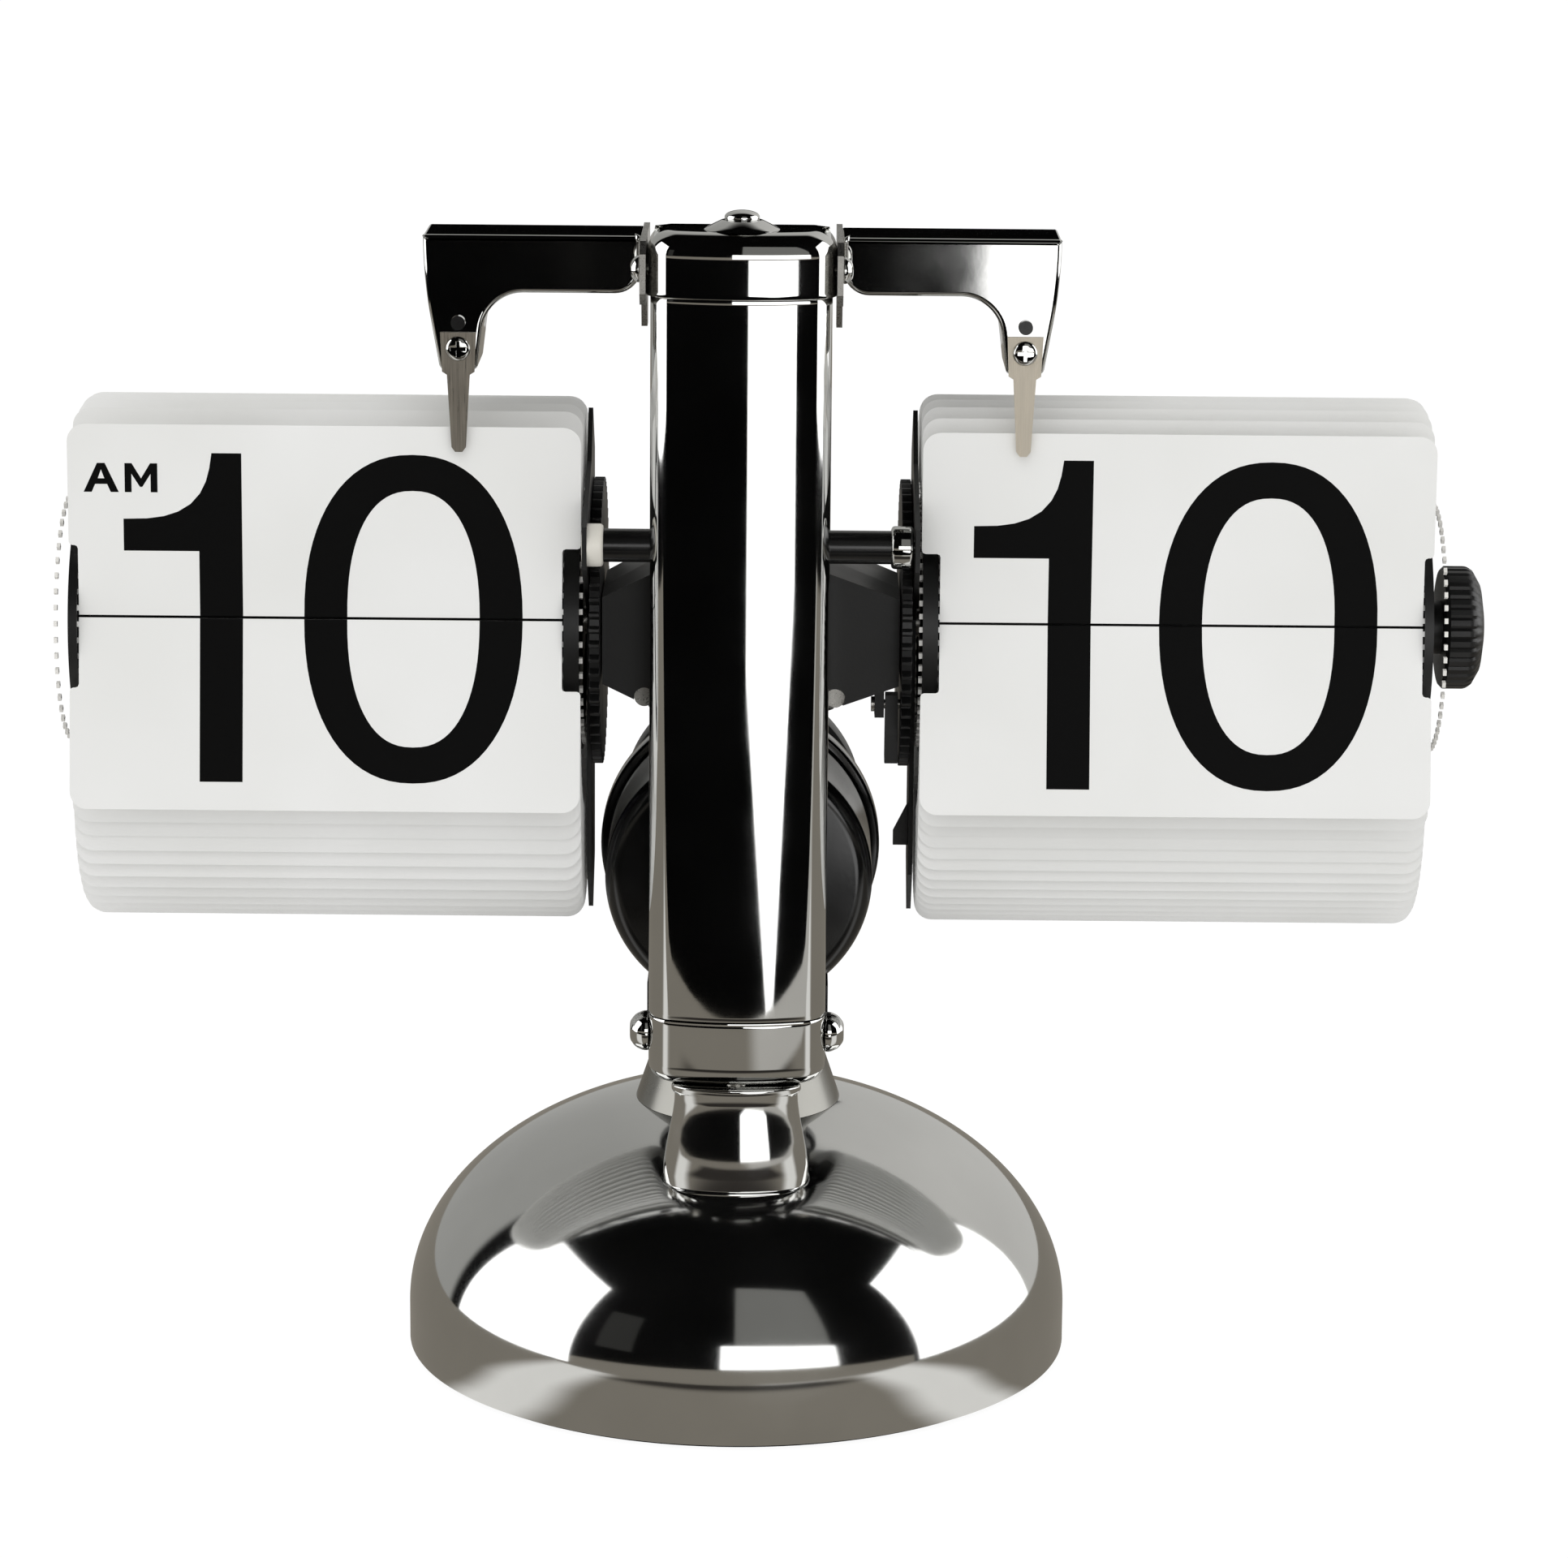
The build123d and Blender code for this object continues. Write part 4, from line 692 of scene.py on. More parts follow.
def arm_body(side):
    """Folded sheet arm: a front web with its flanges turned back, open behind."""
    inner, outer, top, low = 16.7, 53.0, 198.8, 189.2
    leg_outer_top, leg_bottom, leg_half, leg_slope = 191.6, 176.2, 3.1, 1.6
    depth = 15.0
    rear = ARM_FRONT + depth
    bm = bmesh.new()
    points = [(inner, top), (outer, top), (outer, leg_outer_top), (LEG_X + leg_half, leg_bottom),
              (LEG_X - leg_half, leg_bottom), (LEG_X - leg_half - leg_slope, low), (inner, low)]
    face = outline_face(bm, points, "XZ", ARM_FRONT)
    verts = list(face.verts)
    round_corners(bm, [(verts[5], 6.0, 12), (verts[6], 4.5, 10), (verts[0], 0.3, 2), (verts[1], 0.5, 3),
                       (verts[2], 6.0, 6), (verts[3], 0.8, 4), (verts[4], 0.8, 4)])
    push(bm, bm.faces[:], (0, depth, 0))
    front = [e for e in bm.edges if all(abs(v.co.y - ARM_FRONT) < MERGE for v in e.verts)]
    bmesh.ops.bevel(bm, geom=front, affect="EDGES", offset=0.9, segments=5, profile=0.5, material=-1)
    gone = [f for f in bm.faces if all(abs(v.co.y - rear) < MERGE for v in f.verts)]
    bmesh.ops.delete(bm, geom=gone, context="FACES")
    bmesh.ops.recalc_face_normals(bm, faces=bm.faces[:])
    if side < 0:
        mirror_x(bm)
    return bm


def thicken(made, thickness):
    """Sheet thickness inwards, applied to the mesh."""
    modifier = made.modifiers.new("sheet", "SOLIDIFY")
    modifier.thickness = thickness * MM
    modifier.offset = -1.0
    modifier.use_even_offset = False
    apply_modifiers(made)


def weigh_normals(made):
    """Keep the shading of broad faces true beside their fine bevels."""
    made.modifiers.new("weighted", "WEIGHTED_NORMAL").keep_sharp = True
    apply_modifiers(made)


def apply_modifiers(made):
    """Replace a piece's mesh by its finished one."""
    graph = bpy.context.evaluated_depsgraph_get()
    done = bpy.data.meshes.new_from_object(made.evaluated_get(graph))
    old = made.data
    made.modifiers.clear()
    made.data = done
    name = old.name
    bpy.data.meshes.remove(old)
    done.name = name


def cross_head(radius, height):
    """Pan head with a sunk cross, facing -Y with its seat at y = 0."""
    reach, half, bottom = radius * 0.62, radius * 0.14, height - 0.45
    profile = [(0, 0), (radius, 0), (radius * 0.97, height * 0.55), (radius * 0.7, height * 0.92),
               (0, height)]
    bm = lathe(profile, 32, {1: (0.08, 2), 2: (0.25, 3)})
    cutter = box(-reach, reach, -half, half, bottom, height + 1)
    join(cutter, box(-half, half, -reach, reach, bottom, height + 1))
    head = cut(bm, cutter)
    turn(head, "X", 90)
    return head


def cut(bm, cutter):
    """Subtract one body from another."""
    made = []
    for name, body in (("body", bm), ("cutter", cutter)):
        mesh = bpy.data.meshes.new(name)
        body.to_mesh(mesh)
        body.free()
        obj = bpy.data.objects.new(name, mesh)
        bpy.context.scene.collection.objects.link(obj)
        made.append(obj)
    modifier = made[0].modifiers.new("cut", "BOOLEAN")
    modifier.operation = "DIFFERENCE"
    modifier.solver = "EXACT"
    modifier.use_self = True
    modifier.object = made[1]
    graph = bpy.context.evaluated_depsgraph_get()
    done = bpy.data.meshes.new_from_object(made[0].evaluated_get(graph))
    result = bmesh.new()
    result.from_mesh(done)
    bpy.data.meshes.remove(done)
    for obj in made:
        mesh = obj.data
        bpy.data.objects.remove(obj)
        bpy.data.meshes.remove(mesh)
    bmesh.ops.remove_doubles(result, verts=result.verts[:], dist=MERGE)
    return result


# Leaves

class Reel:
    """Sizes of one reel of leaves, as in the frame."""

    def __init__(self, name, side, inner_edge, count, lean_step):
        self.name = name
        self.side = side
        self.inner_edge = inner_edge
        self.count = count
        self.pitch = 360 / count
        self.lean_step = lean_step
        self.inner_disc = (inner_edge + 0.3, inner_edge + 2.9)
        start = inner_edge + LEAF_WIDTH - 1.3
        self.outer_disc = (start, start + 3.4)
        gear_face = inner_edge - 1.5
        self.gear = (gear_face - 1.7, gear_face)
        self.body = name + "_reel"
        self.flip_body = name + "_flip_leaf_body"
        chord = 2 * EAR_CIRCLE * math.sin(math.radians(self.pitch / 2))
        spare = EAR_HALF * math.sin(math.radians(self.pitch))
        self.nest = math.degrees(math.asin((LEAF_THICKNESS + LEAF_GAP + spare) / chord)) + NEST_MARGIN
        self.root = EAR_CIRCLE * math.sin(math.radians(self.pitch / 2)) - SPLIT_HALF_GAP

    def waiting(self):
        """Ear angle and lean of each leaf that has not fallen."""
        angle = math.degrees(math.asin(SPLIT_HEIGHT / EAR_CIRCLE)) + self.pitch / 2
        places = []
        while angle < 182:
            lean = FLIP_LEAN + len(places) * self.pitch * self.lean_step
            places.append((angle, min(lean, angle - (self.nest - self.pitch / 2))))
            angle += self.pitch
        return places

    def fallen(self):
        """Ear angle and lean of each hanging leaf."""
        angle = math.degrees(math.asin(SPLIT_HEIGHT / EAR_CIRCLE)) - self.pitch / 2
        places = []
        for _ in range(self.count - len(self.waiting())):
            needed = angle - self.pitch / 2 + self.nest
            places.append((angle, max(0.0, needed) if angle > -90 else 0.0))
            angle -= self.pitch
        return places


HOUR = Reel("hour", LEFT, 26.8, 48, 1.9)
MINUTE = Reel("minute", RIGHT, 30.5, 60, 1.2)


def leaf_matrix(angle, lean, fallen):
    """Place of a leaf: X along the reel, Y up the leaf from its ears, Z its normal."""
    a, tilt = math.radians(angle), math.radians(lean)
    origin = Vector((0, -EAR_CIRCLE * math.cos(a), AXIS_Z + EAR_CIRCLE * math.sin(a)))
    if fallen:
        along = Vector((0, -math.sin(tilt), -math.cos(tilt)))
    else:
        along = Vector((0, math.sin(tilt), math.cos(tilt)))
    across = Vector((1, 0, 0))
    matrix = Matrix((across, along, across.cross(along))).transposed().to_4x4()
    matrix.translation = origin
    return matrix


def leaf_blank(reel, root):
    """Card with a notch and an ear at each end, its far corners rounded. It lies flat at z = 0."""
    near, far = reel.inner_edge, reel.inner_edge + LEAF_WIDTH
    in_near, in_far = reel.inner_disc[1] + 0.25, reel.outer_disc[0] - 0.25
    ear_near, ear_far = reel.inner_disc[1] - 1.1, reel.outer_disc[0] + 1.1
    points = []
    if root > EAR_HALF:
        points += [(in_near, -root), (in_near, -EAR_HALF)]
    points += [(ear_near, -EAR_HALF), (ear_near, EAR_HALF), (in_near, EAR_HALF), (in_near, NOTCH_LENGTH),
               (near, NOTCH_LENGTH), (near, LEAF_LENGTH), (far, LEAF_LENGTH), (far, NOTCH_LENGTH),
               (in_far, NOTCH_LENGTH), (in_far, EAR_HALF), (ear_far, EAR_HALF), (ear_far, -EAR_HALF)]
    if root > EAR_HALF:
        points += [(in_far, -EAR_HALF), (in_far, -root)]
    bm = bmesh.new()
    face = outline_face(bm, points, "XY", -LEAF_THICKNESS / 2)
    tips = [v for v in face.verts if abs(v.co.y - LEAF_LENGTH) < MERGE]
    notches = [v for v in face.verts if abs(v.co.y - NOTCH_LENGTH) < MERGE]
    round_corners(bm, [(v, 3.0, 8) for v in tips])
    round_corners(bm, [(v, 0.6, 2) for v in notches if v.is_valid])
    push(bm, bm.faces[:], (0, 0, LEAF_THICKNESS))
    if reel.side < 0:
        mirror_x(bm)
    return bm


def leaf_stack(reel, places, fallen):
    """All the leaves of a stack in one body, each with a hair's variation in its lean."""
    stack = bmesh.new()
    for index, (angle, lean) in enumerate(places):
        card = leaf_blank(reel, EAR_HALF)
        wander = 0.12 * math.sin(index * 2.4 + reel.count)
        card.transform(leaf_matrix(angle, lean + wander, fallen))
        join(stack, card)
    return stack


# Sizes of the numerals, in millimetres
ONE_WIDTH = 19.9
ZERO_WIDTH = 36.8
FIGURE_HALF = 27.8
SIDE_STROKE = 7.25
END_STROKE = 6.1


def figure_one():
    """Outline of the one, with its curved flag."""
    flag = [(14.9, FIGURE_HALF), (14.5, 25.2), (13.9, 23.0), (12.9, 21.0), (11.3, 19.2), (9.2, 17.9),
            (6.8, 17.1), (4.0, 16.7), (0.0, 16.6)]
    flag_bottom, stem = 11.2, ONE_WIDTH - SIDE_STROKE
    return ([(ONE_WIDTH, FIGURE_HALF)] + flag + [(0.0, flag_bottom), (stem, flag_bottom)]
            + [(stem, -FIGURE_HALF), (ONE_WIDTH, -FIGURE_HALF)])


def oval(half_width, half_height, power, count=72):
    """Squared oval, anticlockwise from its right side."""
    points = []
    for i in range(count):
        a = math.tau * i / count
        c, s = math.cos(a), math.sin(a)
        x = half_width * math.copysign(abs(c) ** (2 / power), c)
        points.append((x, half_height * math.copysign(abs(s) ** (2 / power), s)))
    return points


def figure_body(kind):
    """Flat figure in the XY plane: x from its left side, y above the split."""
    bm = bmesh.new()
    if kind == "1":
        outline_face(bm, figure_one(), "XY", 0.0)
    else:
        outer = oval(ZERO_WIDTH / 2, FIGURE_HALF, 2.25)
        inner = oval(ZERO_WIDTH / 2 - SIDE_STROKE, FIGURE_HALF - END_STROKE, 2.35)
        loops = []
        for points in (outer, inner):
            verts = [bm.verts.new((x + ZERO_WIDTH / 2, y, 0)) for x, y in points]
            loops += [bm.edges.new((verts[i - 1], verts[i])) for i in range(len(verts))]
        bmesh.ops.bridge_loops(bm, edges=loops)
    bmesh.ops.recalc_face_normals(bm, faces=bm.faces[:])
    return bm


def letter_bodies():
    """The morning mark, A then M, in strokes."""
    bm = bmesh.new()
    height, a_width, m_left, thick = 4.9, 5.9, 6.9, 1.15
    half = [(0, 0), (1.35, 0), (1.95, 1.35), (2.95, 1.35), (2.95, 2.3), (2.4, 2.3), (2.95, 3.8),
            (2.95, height), (2.3, height)]
    outline_face(bm, half, "XY")
    outline_face(bm, [(a_width - x, h) for x, h in half[::-1]], "XY")
    bmesh.ops.remove_doubles(bm, verts=bm.verts[:], dist=MERGE)
    strokes = [(0, 0), (thick, 0), (thick, 3.1), (2.55, 0.9), (2.95, 0.9), (4.35, 3.1), (4.35, 0), (5.5, 0),
               (5.5, height), (4.3, height), (2.75, 2.35), (1.2, height), (0, height)]
    outline_face(bm, [(m_left + x, h) for x, h in strokes], "XY")
    bmesh.ops.recalc_face_normals(bm, faces=bm.faces[:])
    return bm


def printed(reel, figures, upper):
    """Half of a number as ink on a leaf's face. It returns a body flat in leaf coordinates."""
    ink = bmesh.new()
    left = reel.inner_edge if reel.side > 0 else -(reel.inner_edge + LEAF_WIDTH)
    for kind, x in figures:
        bm = figure_body(kind)
        shift(bm, x=left + x)
        join(ink, bm)
    edge = SPLIT_HALF_GAP if upper else -SPLIT_HALF_GAP
    bmesh.ops.bisect_plane(ink, geom=ink.verts[:] + ink.edges[:] + ink.faces[:], dist=1e-5,
                           plane_co=(0, edge, 0), plane_no=(0, 1, 0), clear_inner=upper,
                           clear_outer=not upper)
    return ink


def lay_ink(ink, reel, place, upper, facing):
    """Set ink on the face of a leaf at its place. facing is +1 for the front of a rising leaf."""
    angle, lean, fallen = place
    if not upper:
        bmesh.ops.scale(ink, vec=(1, -1, 1), verts=ink.verts[:])
    shift(ink, y=-(SPLIT_HALF_GAP + reel.root))
    push(ink, ink.faces[:], (0, 0, INK_THICKNESS))
    lift = LEAF_THICKNESS / 2
    shift(ink, z=lift if facing > 0 else -lift - INK_THICKNESS)
    ink.transform(leaf_matrix(angle, lean, fallen))
    bmesh.ops.recalc_face_normals(ink, faces=ink.faces[:])
    return ink


# Reel parts

def flute(bm, inner, outer, low, high, count, depth):
    """Press grooves along the axis into the points between two radii and two heights."""
    for v in bm.verts:
        r = math.hypot(v.co.x, v.co.y)
        if inner < r < outer and low < v.co.z < high:
            cut_depth = depth * max(0.0, math.cos(math.atan2(v.co.y, v.co.x) * count)) ** 2
            v.co.x *= (r - cut_depth) / r
            v.co.y *= (r - cut_depth) / r


def reel_disc_body(span, groove_inside):
    """Leaf disc with a ring groove for the ears. The inner one is dished, the outer one has a fluted hub."""
    x0, x1 = span
    width = x1 - x0
    bore, rim, groove = 2.4, 22.3, (20.25, 21.75)
    if groove_inside:
        floor = width - 1.4
        profile = [(bore, width), (6.0, width), (groove[0], width), (groove[0], floor), (groove[1], floor),
                   (groove[1], width), (rim, width), (rim, 0), (18.9, 0), (18.2, 0.7), (7.5, 0.7), (6.8, 0),
                   (bore, 0)]
        bm = lathe(profile, 240)
    else:
        hub, plate, floor, hub_radius = width - 0.5, 1.5, 1.2, 11.1
        profile = [(bore, hub), (hub_radius - 0.4, hub), (hub_radius, hub - 0.4), (hub_radius, plate),
                   (rim, plate), (rim, 0), (groove[1], 0), (groove[1], floor), (groove[0], floor),
                   (groove[0], 0), (6.0, 0), (bore, 0)]
        bm = lathe(profile, 240)
        flute(bm, 10.5, 12.0, plate + 0.1, hub - 0.1, 60, 0.25)
    turn(bm, "Y", 90)
    shift(bm, x=x0, z=AXIS_Z)
    return bm


def gear_body(reel, teeth=60, module=0.8):
    """Spur gear, a toothed plate with its teeth as in the frame."""
    pitch_radius = module * teeth / 2
    root, tip = pitch_radius - 1.2 * module, pitch_radius + 0.9 * module
    x0, x1 = reel.gear
    phase = math.radians(-28.0 + 180 / teeth)
    bm = bmesh.new()
    points = []
    for index in range(teeth):
        centre = phase + math.tau * index / teeth
        for radius, across in ((root, -0.62), (tip, -0.26), (tip, 0.26), (root, 0.62)):
            a = centre + across / radius
            points.append((radius * math.cos(a), AXIS_Z + radius * math.sin(a)))
    outline_face(bm, points, "YZ", x0)
    push(bm, bm.faces[:], (x1 - x0, 0, 0))
    soften(bm, 0.06, 1, 50)
    return bm


def drum_body():
    """Battery housing: a rounded drum, a flange ring behind it and the tube that takes the cell."""
    front, end = -15.0, 46.0
    drum, flange, tube, bore = 23.0, 24.6, 20.0, 17.3
    flange_front, flange_back, inside = 12.0, 17.0, -11.9
    profile = [(0, front), (drum, front), (drum, flange_front), (flange, flange_front),
               (flange, flange_back), (tube, flange_back), (tube, end), (bore, end), (bore, inside),
               (0, inside)]
    bm = lathe(profile, 128, {1: (3.0, 8), 2: (0.4, 2), 3: (0.5, 3), 4: (0.5, 3), 6: (0.4, 2), 7: (0.3, 2)})
    turn(bm, "X", -90)
    shift(bm, z=DRUM_Z)
    return bm


def cover_body():
    """Pull-off cover with a skirt and a grip bar across it."""
    seat, skirt_end, back = 46.3, 41.5, 49.5
    plug, inside, outside = 17.3, 20.1, 21.8
    profile = [(0, 47.3), (plug, 47.3), (plug, seat), (inside, seat), (inside, skirt_end),
               (outside, skirt_end), (outside, back), (0, back)]
    bm = lathe(profile, 128, {5: (0.3, 2), 6: (1.2, 6)})
    turn(bm, "X", -90)
    shift(bm, z=DRUM_Z)
    grip = box(-15.2, 15.2, 49.4, 52.5, DRUM_Z - 2, DRUM_Z + 2)
    soften(grip, 0.7, 3)
    join(bm, grip)
    return bm


def knob_body(reel):
    """Setting knob: fluted sides and a domed end."""
    gap, length, bore, wall = 1.9, 7.2, 2.4, 1.2
    collar_start = reel.outer_disc[1]
    profile = [(bore, 0), (10.0, 0), (10.6, 0.6), (10.6, length - 2.9), (9.9, length - 1.9),
               (7.8, length - 0.7), (4.2, length - 0.05), (0, length), (0, length - wall),
               (bore, length - wall)]
    bm = lathe(profile, 144, {3: (0.5, 3)})
    flute(bm, 8.5, 12.0, 0.3, length - 1.5, 36, 0.35)
    turn(bm, "Y", 90)
    shift(bm, x=collar_start + gap, z=AXIS_Z)
    collar = lathe([(bore, 0), (4.6, 0), (4.6, gap), (bore, gap)], 48)
    turn(collar, "Y", 90)
    shift(collar, x=collar_start, z=AXIS_Z)
    join(bm, collar)
    return bm


# Operators

class CLOCK_PG_studio(bpy.types.PropertyGroup):
    """Where the clock is seen from."""
    eye_x: bpy.props.FloatProperty(name="Eye across", description="Camera place along X", default=0.00766,
                                   unit="LENGTH", subtype="DISTANCE")
    eye_y: bpy.props.FloatProperty(name="Eye in front", description="Camera place along Y", default=-0.85,
                                   unit="LENGTH", subtype="DISTANCE")
    eye_z: bpy.props.FloatProperty(name="Eye height", description="Camera height above the desk",
                                   default=0.2991, unit="LENGTH", subtype="DISTANCE")
    pitch: bpy.props.FloatProperty(name="Look down", description="Camera tilt below level",
                                   default=math.radians(13.05), unit="ROTATION", subtype="ANGLE")
    roll: bpy.props.FloatProperty(name="Roll", description="Camera roll", default=math.radians(0.5),
                                  unit="ROTATION", subtype="ANGLE")
    lens: bpy.props.FloatProperty(name="Lens", description="Focal length in millimetres", default=115.19)


class CLOCK_PG_leaves(bpy.types.PropertyGroup):
    """Where the numerals stand on the leaves."""
    hour_one: bpy.props.FloatProperty(name="Hour one", description="Left side of the hour's one, in mm",
                                      default=9.3)
    hour_zero: bpy.props.FloatProperty(name="Hour zero", description="Left side of the hour's zero, in mm",
                                       default=39.5)
    minute_one: bpy.props.FloatProperty(name="Minute one", default=8.7,
                                        description="Left side of the minute's one, in mm")
    minute_zero: bpy.props.FloatProperty(name="Minute zero", default=40.1,
                                         description="Left side of the minute's zero, in mm")


class CLOCK_OT_stage(bpy.types.Operator):
    """Set the camera, the floor and the soft studio light."""
    bl_idname = "clock.stage"
    bl_label = "Studio"

    def execute(self, context):
        make_camera(context.scene.clock_studio)
        make_world()
        make_floor()
        make_table()
        make_lights()
        return {"FINISHED"}


class CLOCK_OT_body(bpy.types.Operator):
    """Model the chrome dome, posts, pillar, cup, cap and their nuts."""
    bl_idname = "clock.body"
    bl_label = "Chrome body"

    def execute(self, context):
        chrome = FINISHES["chrome plate"]
        buffed, nickel = FINISHES["buffed chrome plate"], FINISHES["satin nickel plate"]
        piece("base_dome_chrome", dome_body(), "stand", buffed, ["base_dome"])
        piece("crown_post_nickel", crown_body(), "stand", nickel, ["crown_post"])
        piece("neck_post_chrome", neck_body(), "stand", buffed, ["neck_post"])
        weigh_normals(piece("pillar_chrome", pillar_body(), "stand", chrome, ["pillar_shell"]))
        cup = rounded_end(CUP_BOTTOM, PILLAR_BOTTOM - SEAM, 0.0, 3.5, 3.3, False)
        weigh_normals(piece("pillar_cup_chrome", cup, "stand", chrome, ["pillar_cup"]))
        cap = rounded_end(PILLAR_TOP, CAP_TOP, 0.7, 4.2, 4.0, True)
        weigh_normals(piece("pillar_cap_chrome", cap, "stand", chrome, ["pillar_cap"]))
        washer, head = finial_bodies()
        piece("finial_washer_chrome", washer, "stand", chrome, ["finial_washer"])
        piece("finial_screw_chrome", head, "stand", chrome, ["finial_screw"])
        for name, x, y, z, radius, length, node in (
                ("cup_nut", 15.0, -27.0, 64.2, 3.4, 3.2, "cup_side_nuts"),
                ("cap_screw", 16.7, -29.5, 194.6, 2.2, 1.6, "cap_side_screws")):
            both = acorn_body(radius, length)
            shift(both, x, y, z)
            other = acorn_body(radius, length)
            shift(other, x, y, z)
            mirror_x(other)
            join(both, other)
            piece(name + "s_chrome", both, "stand", chrome, [node])
        return {"FINISHED"}


class CLOCK_OT_arms(bpy.types.Operator):
    """Model the folded arms and the screws of the spring fingers."""
    bl_idname = "clock.arms"
    bl_label = "Arms"

    def execute(self, context):
        chrome = FINISHES["chrome plate"]
        for name, side in (("left", LEFT), ("right", RIGHT)):
            arm = piece(name + "_arm_chrome", arm_body(side), "stand", chrome, [name + "_arm"])
            thicken(arm, 1.1)
            weigh_normals(arm)
        screws = bmesh.new()
        for side in (LEFT, RIGHT):
            head = cross_head(2.1, 0.9)
            shift(head, side * LEG_X, ARM_FRONT - 0.4, FINGER_SCREW_Z)
            join(screws, head)
        piece("finger_screw_heads", screws, "stand", chrome, ["finger_screws"])
        return {"FINISHED"}


class CLOCK_OT_leaves(bpy.types.Operator):
    """Cut the leaves and print their numerals."""
    bl_idname = "clock.leaves"
    bl_label = "Leaves"

    def execute(self, context):
        places = context.scene.clock_leaves
        card, ink = FINISHES["white PVC card"], FINISHES["black screen ink"]
        second_one_in, mark_in, mark_up = 5, 2.7, 21.1
        spots = {"hour": (places.hour_one, places.hour_zero),
                 "minute": (places.minute_one, places.minute_zero)}
        for reel in (HOUR, MINUTE):
            waiting, fallen = reel.waiting(), reel.fallen()
            name = reel.name
            flip = leaf_blank(reel, reel.root)
            flip.transform(leaf_matrix(*waiting[0], False))
            piece(name + "_flip_card", flip, reel.flip_body, card, [name + "_flip_leaf"])
            lower = leaf_blank(reel, reel.root)
            lower.transform(leaf_matrix(*fallen[0], True))
            piece(name + "_lower_card", lower, "stand", card, [name + "_lower_leaf"])
            piece(name + "_waiting_cards", leaf_stack(reel, waiting[1:], False), "stand", card,
                  [name + "_waiting_leaves"])
            piece(name + "_fallen_cards", leaf_stack(reel, fallen[1:], True), "stand", card,
                  [name + "_fallen_leaves"])
            one, zero = spots[name]
            now = [("1", one), ("0", zero)]
            soon = [("1", one), ("1", zero + second_one_in)]
            flip_place, low_place = (*waiting[0], False), (*fallen[0], True)
            next_place = (*waiting[1], False)
            upper = lay_ink(printed(reel, now, True), reel, flip_place, True, 1)
            piece(name + "_number_top", upper, reel.flip_body, ink)
            lower = lay_ink(printed(reel, now, False), reel, low_place, False, -1)
            piece(name + "_number_bottom", lower, "stand", ink)
            coming = lay_ink(printed(reel, soon, True), reel, next_place, True, 1)
            piece(name + "_next_top", coming, "stand", ink)
            behind = lay_ink(printed(reel, soon, False), reel, flip_place, False, -1)
            piece(name + "_next_bottom", behind, reel.flip_body, ink)
        mark = letter_bodies()
        shift(mark, x=-(HOUR.inner_edge + LEAF_WIDTH) + mark_in, y=mark_up)
        mark = lay_ink(mark, HOUR, (*HOUR.waiting()[0], False), True, 1)
        piece("hour_morning_mark", mark, HOUR.flip_body, ink)
        return {"FINISHED"}


class CLOCK_OT_reels(bpy.types.Operator):
    """Model the discs, gears and the setting knob."""
    bl_idname = "clock.reels"
    bl_label = "Reels"

    def execute(self, context):
        black = FINISHES["black ABS moulding"]
        for reel in (HOUR, MINUTE):
            discs = reel_disc_body(reel.inner_disc, True)
            join(discs, reel_disc_body(reel.outer_disc, False))
            gear = gear_body(reel)
            if reel.side < 0:
                mirror_x(discs)
                mirror_x(gear)
            piece(reel.name + "_disc_pair", discs, reel.body, black, [reel.name + "_discs"])
            piece(reel.name + "_spur_gear", gear, reel.body, black, [reel.name + "_gear"])
        piece("setting_knob_fluted", knob_body(MINUTE), MINUTE.body, black, ["setting_knob"])
        return {"FINISHED"}


class CLOCK_OT_battery(bpy.types.Operator):
    """Model the battery drum, its cover and the tie rod's nuts."""
    bl_idname = "clock.battery"
    bl_label = "Battery drum and rod nuts"

    def execute(self, context):
        for name, start, length, slot, finish in (("left", -26.4, 3.6, "acetal", "natural acetal"),
                                                  ("right", 25.2, 3.7, "chrome", "chrome plate")):
            nut = lathe([(1.5, 0), (3.6, 0), (3.6, length), (1.5, length)], 48, {1: (0.6, 3), 2: (0.6, 3)})
            turn(nut, "Y", 90)
            shift(nut, start, ROD_Y, ROD_Z)
            piece(name + "_rod_nut", nut, "stand", FINISHES[finish], ["tie_rod_nuts"])
        piece("battery_drum_black", drum_body(), "stand", FINISHES["black ABS polished"],
              ["battery_drum"])
        piece("battery_cover_black", cover_body(), "battery_cover_body",
              FINISHES["black ABS moulding"], ["battery_cover"])
        return {"FINISHED"}


# The finish of each slot, and the nodes that have a finish of their own, which is painted reflection: cream
# on the right finger, black on the steel finger pins
NODE_FINISH = {
    "chrome": "chrome plate", "steel": "zinc plated steel", "black_steel": "black stove enamel",
    "cast_iron": "sand cast iron", "black_plastic": "black ABS moulding",
    "black_gloss": "black ABS polished", "leaf_white": "white PVC card",
    "ear_white": "white ABS", "acetal": "natural acetal",
    "pad_foam": "foam rubber", "brass": "brass sheet", "cell_jacket": "cell jacket",
    "finger_left_steel": "spring steel strip",
}
# The finger pins are steel; their black enamel is painted reflection of the dark room, and the right
# finger's cream is painted reflection of the bright wedge
NODE_PAINTED_REFLECTION = {"right_finger": "spring steel painted bright reflection", "finger_pins": "black stove enamel"}


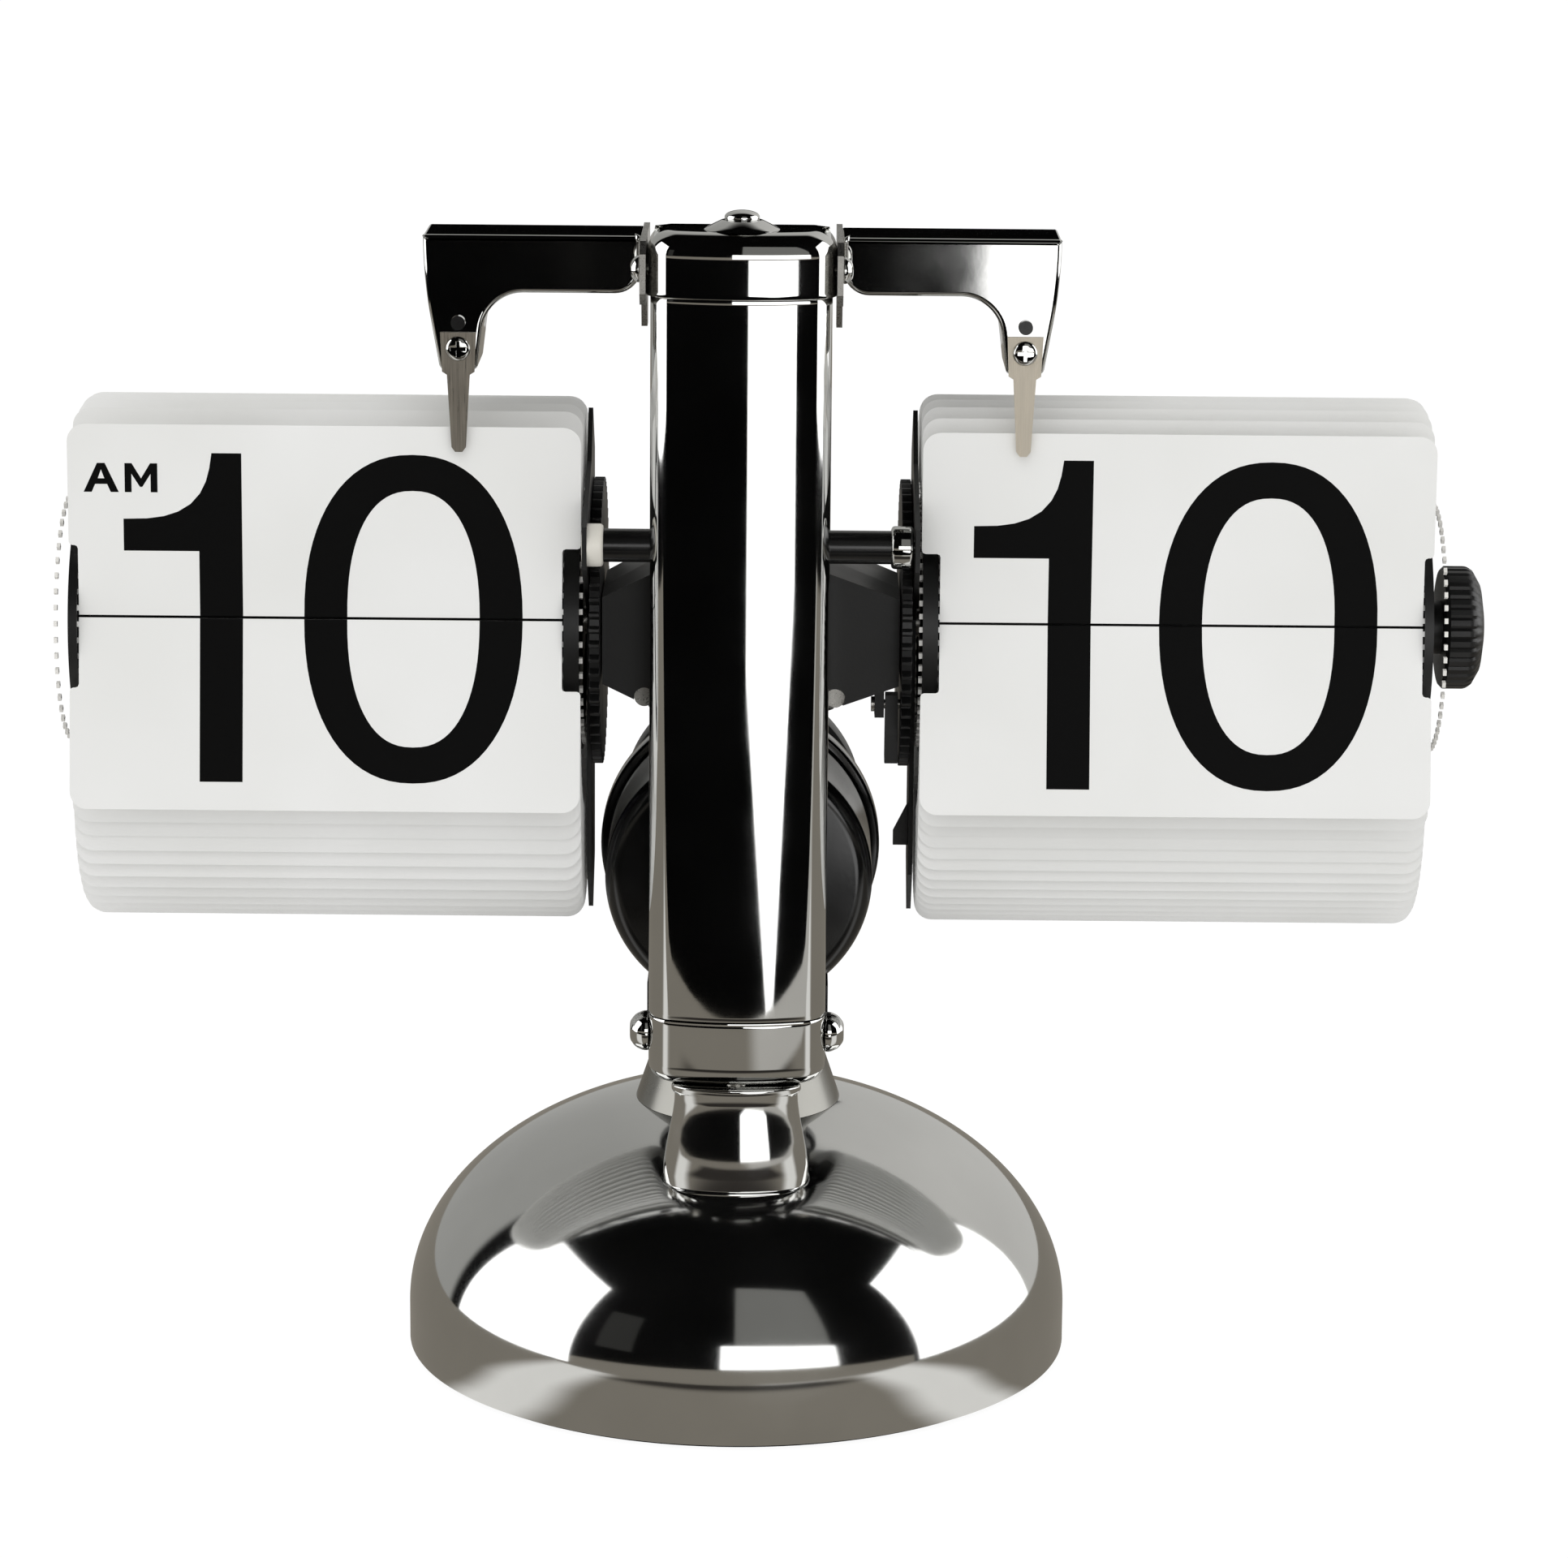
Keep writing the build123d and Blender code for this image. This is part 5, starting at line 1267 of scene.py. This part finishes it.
class CLOCK_OT_nodes(bpy.types.Operator):
    """Give each shown node of the frame the finish of its slot."""
    bl_idname = "clock.nodes"
    bl_label = "Frame finishes"

    def execute(self, context):
        slots = {part["node"]: part["material_slot"] for part in frame["record"]["subparts"]}
        for name, obj in frame["nodes"].items():
            finish = FINISHES[NODE_PAINTED_REFLECTION.get(name, NODE_FINISH[slots[name]])]
            obj.data.materials.clear()
            obj.data.materials.append(finish)
        return {"FINISHED"}


class CLOCK_PT_panel(bpy.types.Panel):
    """Lists the steps that dress the clock."""
    bl_idname = "CLOCK_PT_panel"
    bl_label = "Flip Clock"
    bl_space_type = "VIEW_3D"
    bl_region_type = "UI"
    bl_category = "Flip Clock"

    def draw(self, context):
        for name in ("eye_x", "eye_y", "eye_z", "pitch", "roll", "lens"):
            self.layout.prop(context.scene.clock_studio, name)
        for name in ("hour_one", "hour_zero", "minute_one", "minute_zero"):
            self.layout.prop(context.scene.clock_leaves, name)
        for operator in STEPS:
            self.layout.operator(operator.bl_idname)


STEPS = (CLOCK_OT_stage, CLOCK_OT_nodes, CLOCK_OT_body, CLOCK_OT_arms, CLOCK_OT_leaves, CLOCK_OT_reels,
         CLOCK_OT_battery)
GROUPS = (CLOCK_PG_studio, CLOCK_PG_leaves)


def register():
    """Add the classes, and the properties that the steps read."""
    for group in GROUPS + STEPS + (CLOCK_PT_panel,):
        bpy.utils.register_class(group)
    bpy.types.Scene.clock_studio = bpy.props.PointerProperty(type=CLOCK_PG_studio)
    bpy.types.Scene.clock_leaves = bpy.props.PointerProperty(type=CLOCK_PG_leaves)


def unregister():
    """Remove the properties and the classes."""
    del bpy.types.Scene.clock_studio
    del bpy.types.Scene.clock_leaves
    for group in reversed(GROUPS + STEPS + (CLOCK_PT_panel,)):
        bpy.utils.unregister_class(group)


def main():
    """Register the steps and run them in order."""
    register()
    bpy.context.scene.view_settings.view_transform = "Standard"
    make_finishes()
    for step in STEPS:
        group, name = step.bl_idname.split(".")
        getattr(getattr(bpy.ops, group), name)()


if __name__ == "__main__":
    main()
